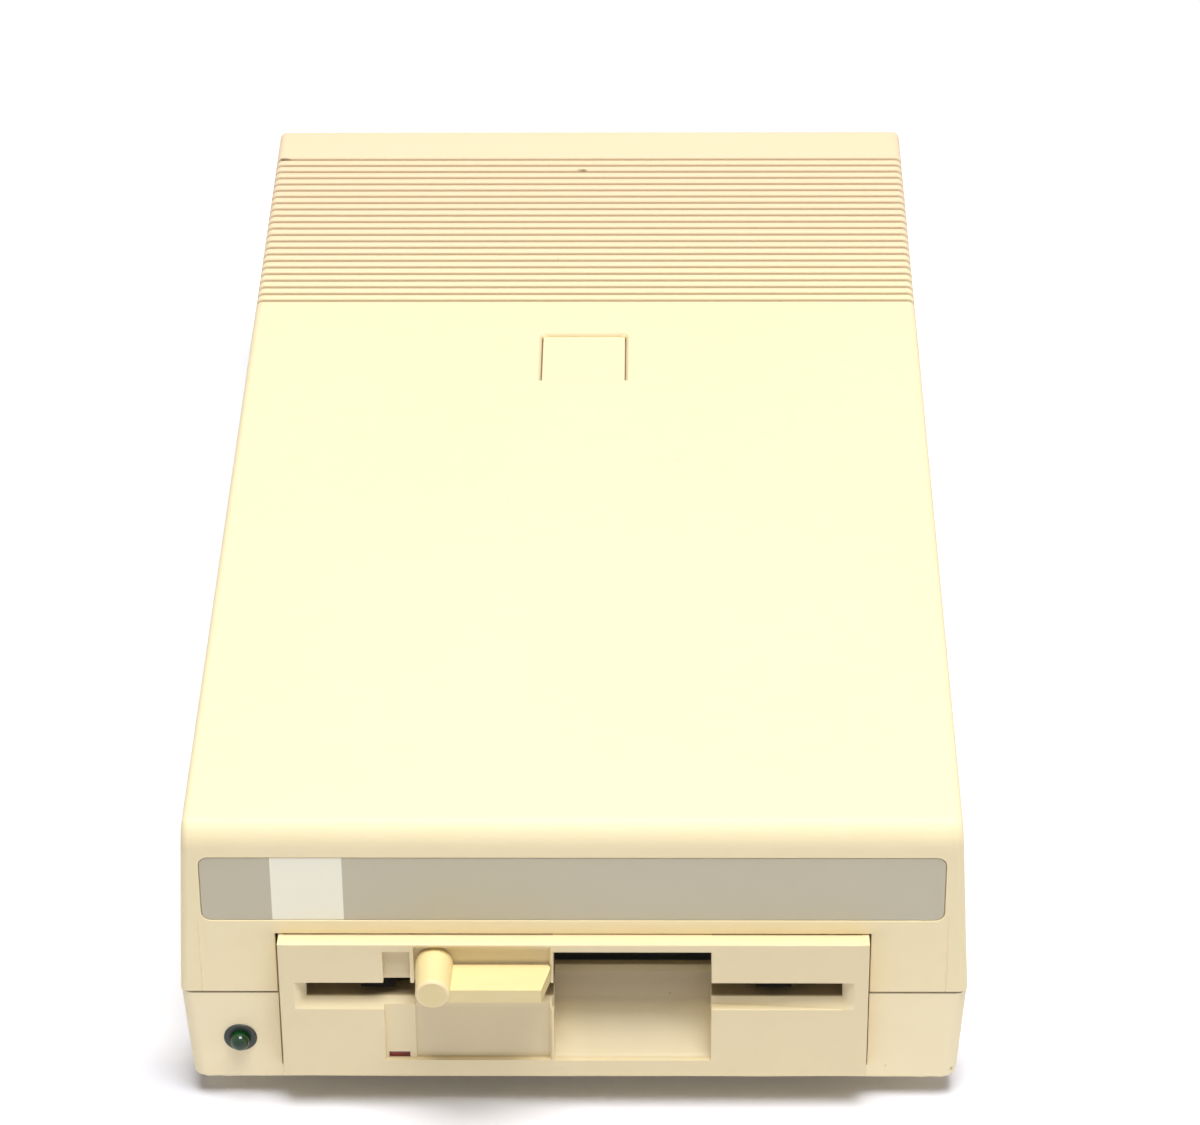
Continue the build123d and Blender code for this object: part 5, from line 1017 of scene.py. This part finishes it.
smoothed("switch_rocker", rocker_plastic, width=0.3, steps=3)
brass = metal("brass", srgb(208, 172, 100), srgb(178, 142, 84), 0.26)
smoothed("inlet_blades", brass, width=0.2)

fuse_glass, glass_shader, glass_place = material("fuse_glass")
plug(glass_shader, "Base Color", glass_place.noise(200.0).mixed(srgb(236, 240, 238), srgb(224, 230, 226)))
plug(glass_shader, "Transmission Weight", 0.85)
plug(glass_shader, "Roughness", 0.03 + glass_place.noise(700.0) * 0.04)
smoothed("fuse", fuse_glass)


# ---- Serial sockets.
# Two round sockets for the computer's lead: a nickel-plated steel shell pressed round a black insert
# that carries the contacts, each held to the panel by its flange.
nickel = metal("nickel", srgb(206, 203, 196), srgb(184, 180, 172), 0.24)
smoothed("din_shells", nickel, width=0.12)
smoothed("din_inserts", black_plastic, width=0.1)
smoothed("din_contacts", brass)


# ---- Steel frame.
# A bent tray of zinc-plated sheet steel that the mechanism is screwed into and that carries the
# power supply and the board on top. The rod clips and board stand-offs are of the same sheet.
frame_plate = metal("frame_plate", srgb(198, 199, 198), srgb(172, 173, 168), 0.38, 0.008, (0.3, 1.0, 1.0))
for node in ("chassis_frame", "chassis_screws", "rod_clips", "board_standoffs"):
    smoothed(node, frame_plate)


# ---- Mechanism casting and disk guides.
# The casting that carries spindle, head and motors is die-cast aluminium, left as cast. Two grey
# nylon rails, screwed to it, guide the disk's edges; small optical sensors stand beside them.
cast_alloy = metal("cast_alloy", srgb(182, 184, 186), srgb(160, 162, 163), 0.5, 0.04)
smoothed("mech_chassis", cast_alloy)
grey_nylon = moulding("grey_nylon", srgb(128, 129, 128), srgb(114, 115, 114), grain=0.03, roughness=0.48)
smoothed("disk_guides", grey_nylon)
smoothed("disk_sensors", black_plastic)


# ---- Lever shaft, bush and crank.
# The lever's ground steel shaft turns in a nylon bush at the back of the bezel. The crank disc on
# its end has a pin off its centre, which lets the clamp arm down as the lever turns.
ground_steel = metal("ground_steel", srgb(198, 198, 199), srgb(176, 176, 176), 0.18, 0.003, (6.0, 0.4, 6.0))
for node in ("lever_shaft", "lever_crank"):
    smoothed(node, ground_steel)
smoothed("lever_bush", grey_nylon)


# ---- Clamp arm, spring and cone.
# A zinc-plated plate hinged on two pins behind the spindle. The leaf spring lifts it, and the nylon
# cone on its stud drops into the disk's hole and grips the disk on the hub.
for node in ("clamp_arm", "clamp_spring"):
    smoothed(node, zinc_plate)
for node in ("clamp_pivot_pins", "clamp_stud"):
    smoothed(node, ground_steel)
smoothed("clamp_cone", grey_nylon, width=0.2)


# ---- Spindle, belt and motor.
# The cast hub turns on a ground shaft in two ball bearings, with a turned alloy flywheel below it.
# A flat rubber belt drives the flywheel from the brass pulley of a direct-current motor.
for node in ("spindle_hub", "flywheel"):
    smoothed(node, cast_alloy)
for node in ("spindle_shaft", "spindle_bearings"):
    smoothed(node, ground_steel)
belt_rubber = rubber("belt_rubber", srgb(26, 26, 26), srgb(38, 37, 36), roughness=0.6)
smoothed("drive_belt", belt_rubber)
motor_can = metal("motor_can", srgb(170, 171, 170), srgb(146, 147, 145), 0.32, 0.006, (1.0, 1.0, 8.0))
for node in ("spindle_motor", "stepper_motor"):
    smoothed(node, motor_can, width=0.2)
smoothed("motor_pulley", brass)


# ---- Head carriage and its drive.
# The nylon carriage slides on two ground rods, moved by a stepper motor through a lead screw. It
# holds the ceramic head, and above it the arm that presses a felt pad on the disk.
for node in ("guide_rods", "lead_screw", "pad_arm_pin"):
    smoothed(node, ground_steel)
smoothed("lead_screw_bearing", cast_alloy)
for node in ("head_carriage", "pad_arm"):
    smoothed(node, grey_nylon)

head_ceramic, ceramic_shader, ceramic_place = material("head_ceramic")
speckle = ceramic_place.noise(2200.0, 3.0)
plug(ceramic_shader, "Base Color", speckle.step(0.3, 0.7).mixed(srgb(58, 50, 46), srgb(78, 68, 62)))
plug(ceramic_shader, "Roughness", 0.12 + speckle * 0.08)
smoothed("read_head", head_ceramic)

felt, felt_shader, felt_place = material("felt")
fibres = felt_place.noise(4200.0, 4.0)
plug(felt_shader, "Base Color", fibres.step(0.3, 0.7).mixed(srgb(206, 202, 190), srgb(232, 229, 220)))
plug(felt_shader, "Roughness", 0.95)
plug(felt_shader, "Sheen Weight", 0.4)
bumps(felt_shader, fibres, 0.1, 0.9)
smoothed("pressure_pad", felt)


# ---- Main board.
# A glass-fibre board with a green lacquer over its copper tracks, carrying the processor and memory
# chips, the smoothing capacitors and two regulators on black finned heat sinks.
board_green, board_shader, board_place = material("board_green")
track_lines = {"Vector": board_place, "Scale": 130.0}
along_tracks = board_place.node("TexWave", {"bands_direction": "X"}, track_lines)
cross_tracks = board_place.node("TexWave", {"bands_direction": "Y"}, track_lines)
field = board_place.noise(45.0, 0.0).step(0.48, 0.52)
tracks = (field * along_tracks + (1.0 - field) * cross_tracks).step(0.72, 0.8)
plug(board_shader, "Base Color", tracks.mixed(srgb(22, 74, 44), srgb(48, 112, 66)))
plug(board_shader, "Roughness", 0.3 + board_place.noise(500.0) * 0.15)
bumps(board_shader, tracks, 0.04)
plug(board_shader, "Coat Weight", 0.3)
smoothed("main_board", board_green)
smoothed("logic_chips", black_plastic)
sleeve = moulding("capacitor_sleeve", srgb(38, 52, 96), srgb(30, 42, 80), grain=0.004, roughness=0.22)
smoothed("smoothing_capacitors", sleeve, width=0.3)
sink_alloy = metal("sink_alloy", srgb(70, 70, 72), srgb(54, 54, 56), 0.45, 0.01)
smoothed("heat_sinks", sink_alloy)


# ---- Mains transformer.
# A stack of thin steel laminations clamped by a bent strap that is screwed to the frame, with
# enamelled copper wire wound round the middle limb in two even coils.
def layered(name, dark, light, direction, scale, roughness):
    """Metal made of many thin layers or turns, seen as fine lines side by side."""
    made, shader, place = material(name)
    lines = place.node("TexWave", {"bands_direction": direction}, {"Vector": place, "Scale": scale}, 1)
    plug(shader, "Metallic", 1.0)
    plug(shader, "Base Color", lines.mixed(dark, light))
    plug(shader, "Roughness", roughness + place.noise(300.0) * 0.15)
    bumps(shader, lines, 0.1, 0.7)
    return made


laminations = layered("laminations", srgb(118, 116, 112), srgb(168, 166, 160), "Y", 320.0, 0.4)
smoothed("transformer_core", laminations)
winding = layered("copper_winding", srgb(120, 58, 28), srgb(196, 108, 58), "Z", 210.0, 0.28)
smoothed("transformer_coil", winding, width=0.8, steps=3)
smoothed("transformer_bracket", zinc_plate)
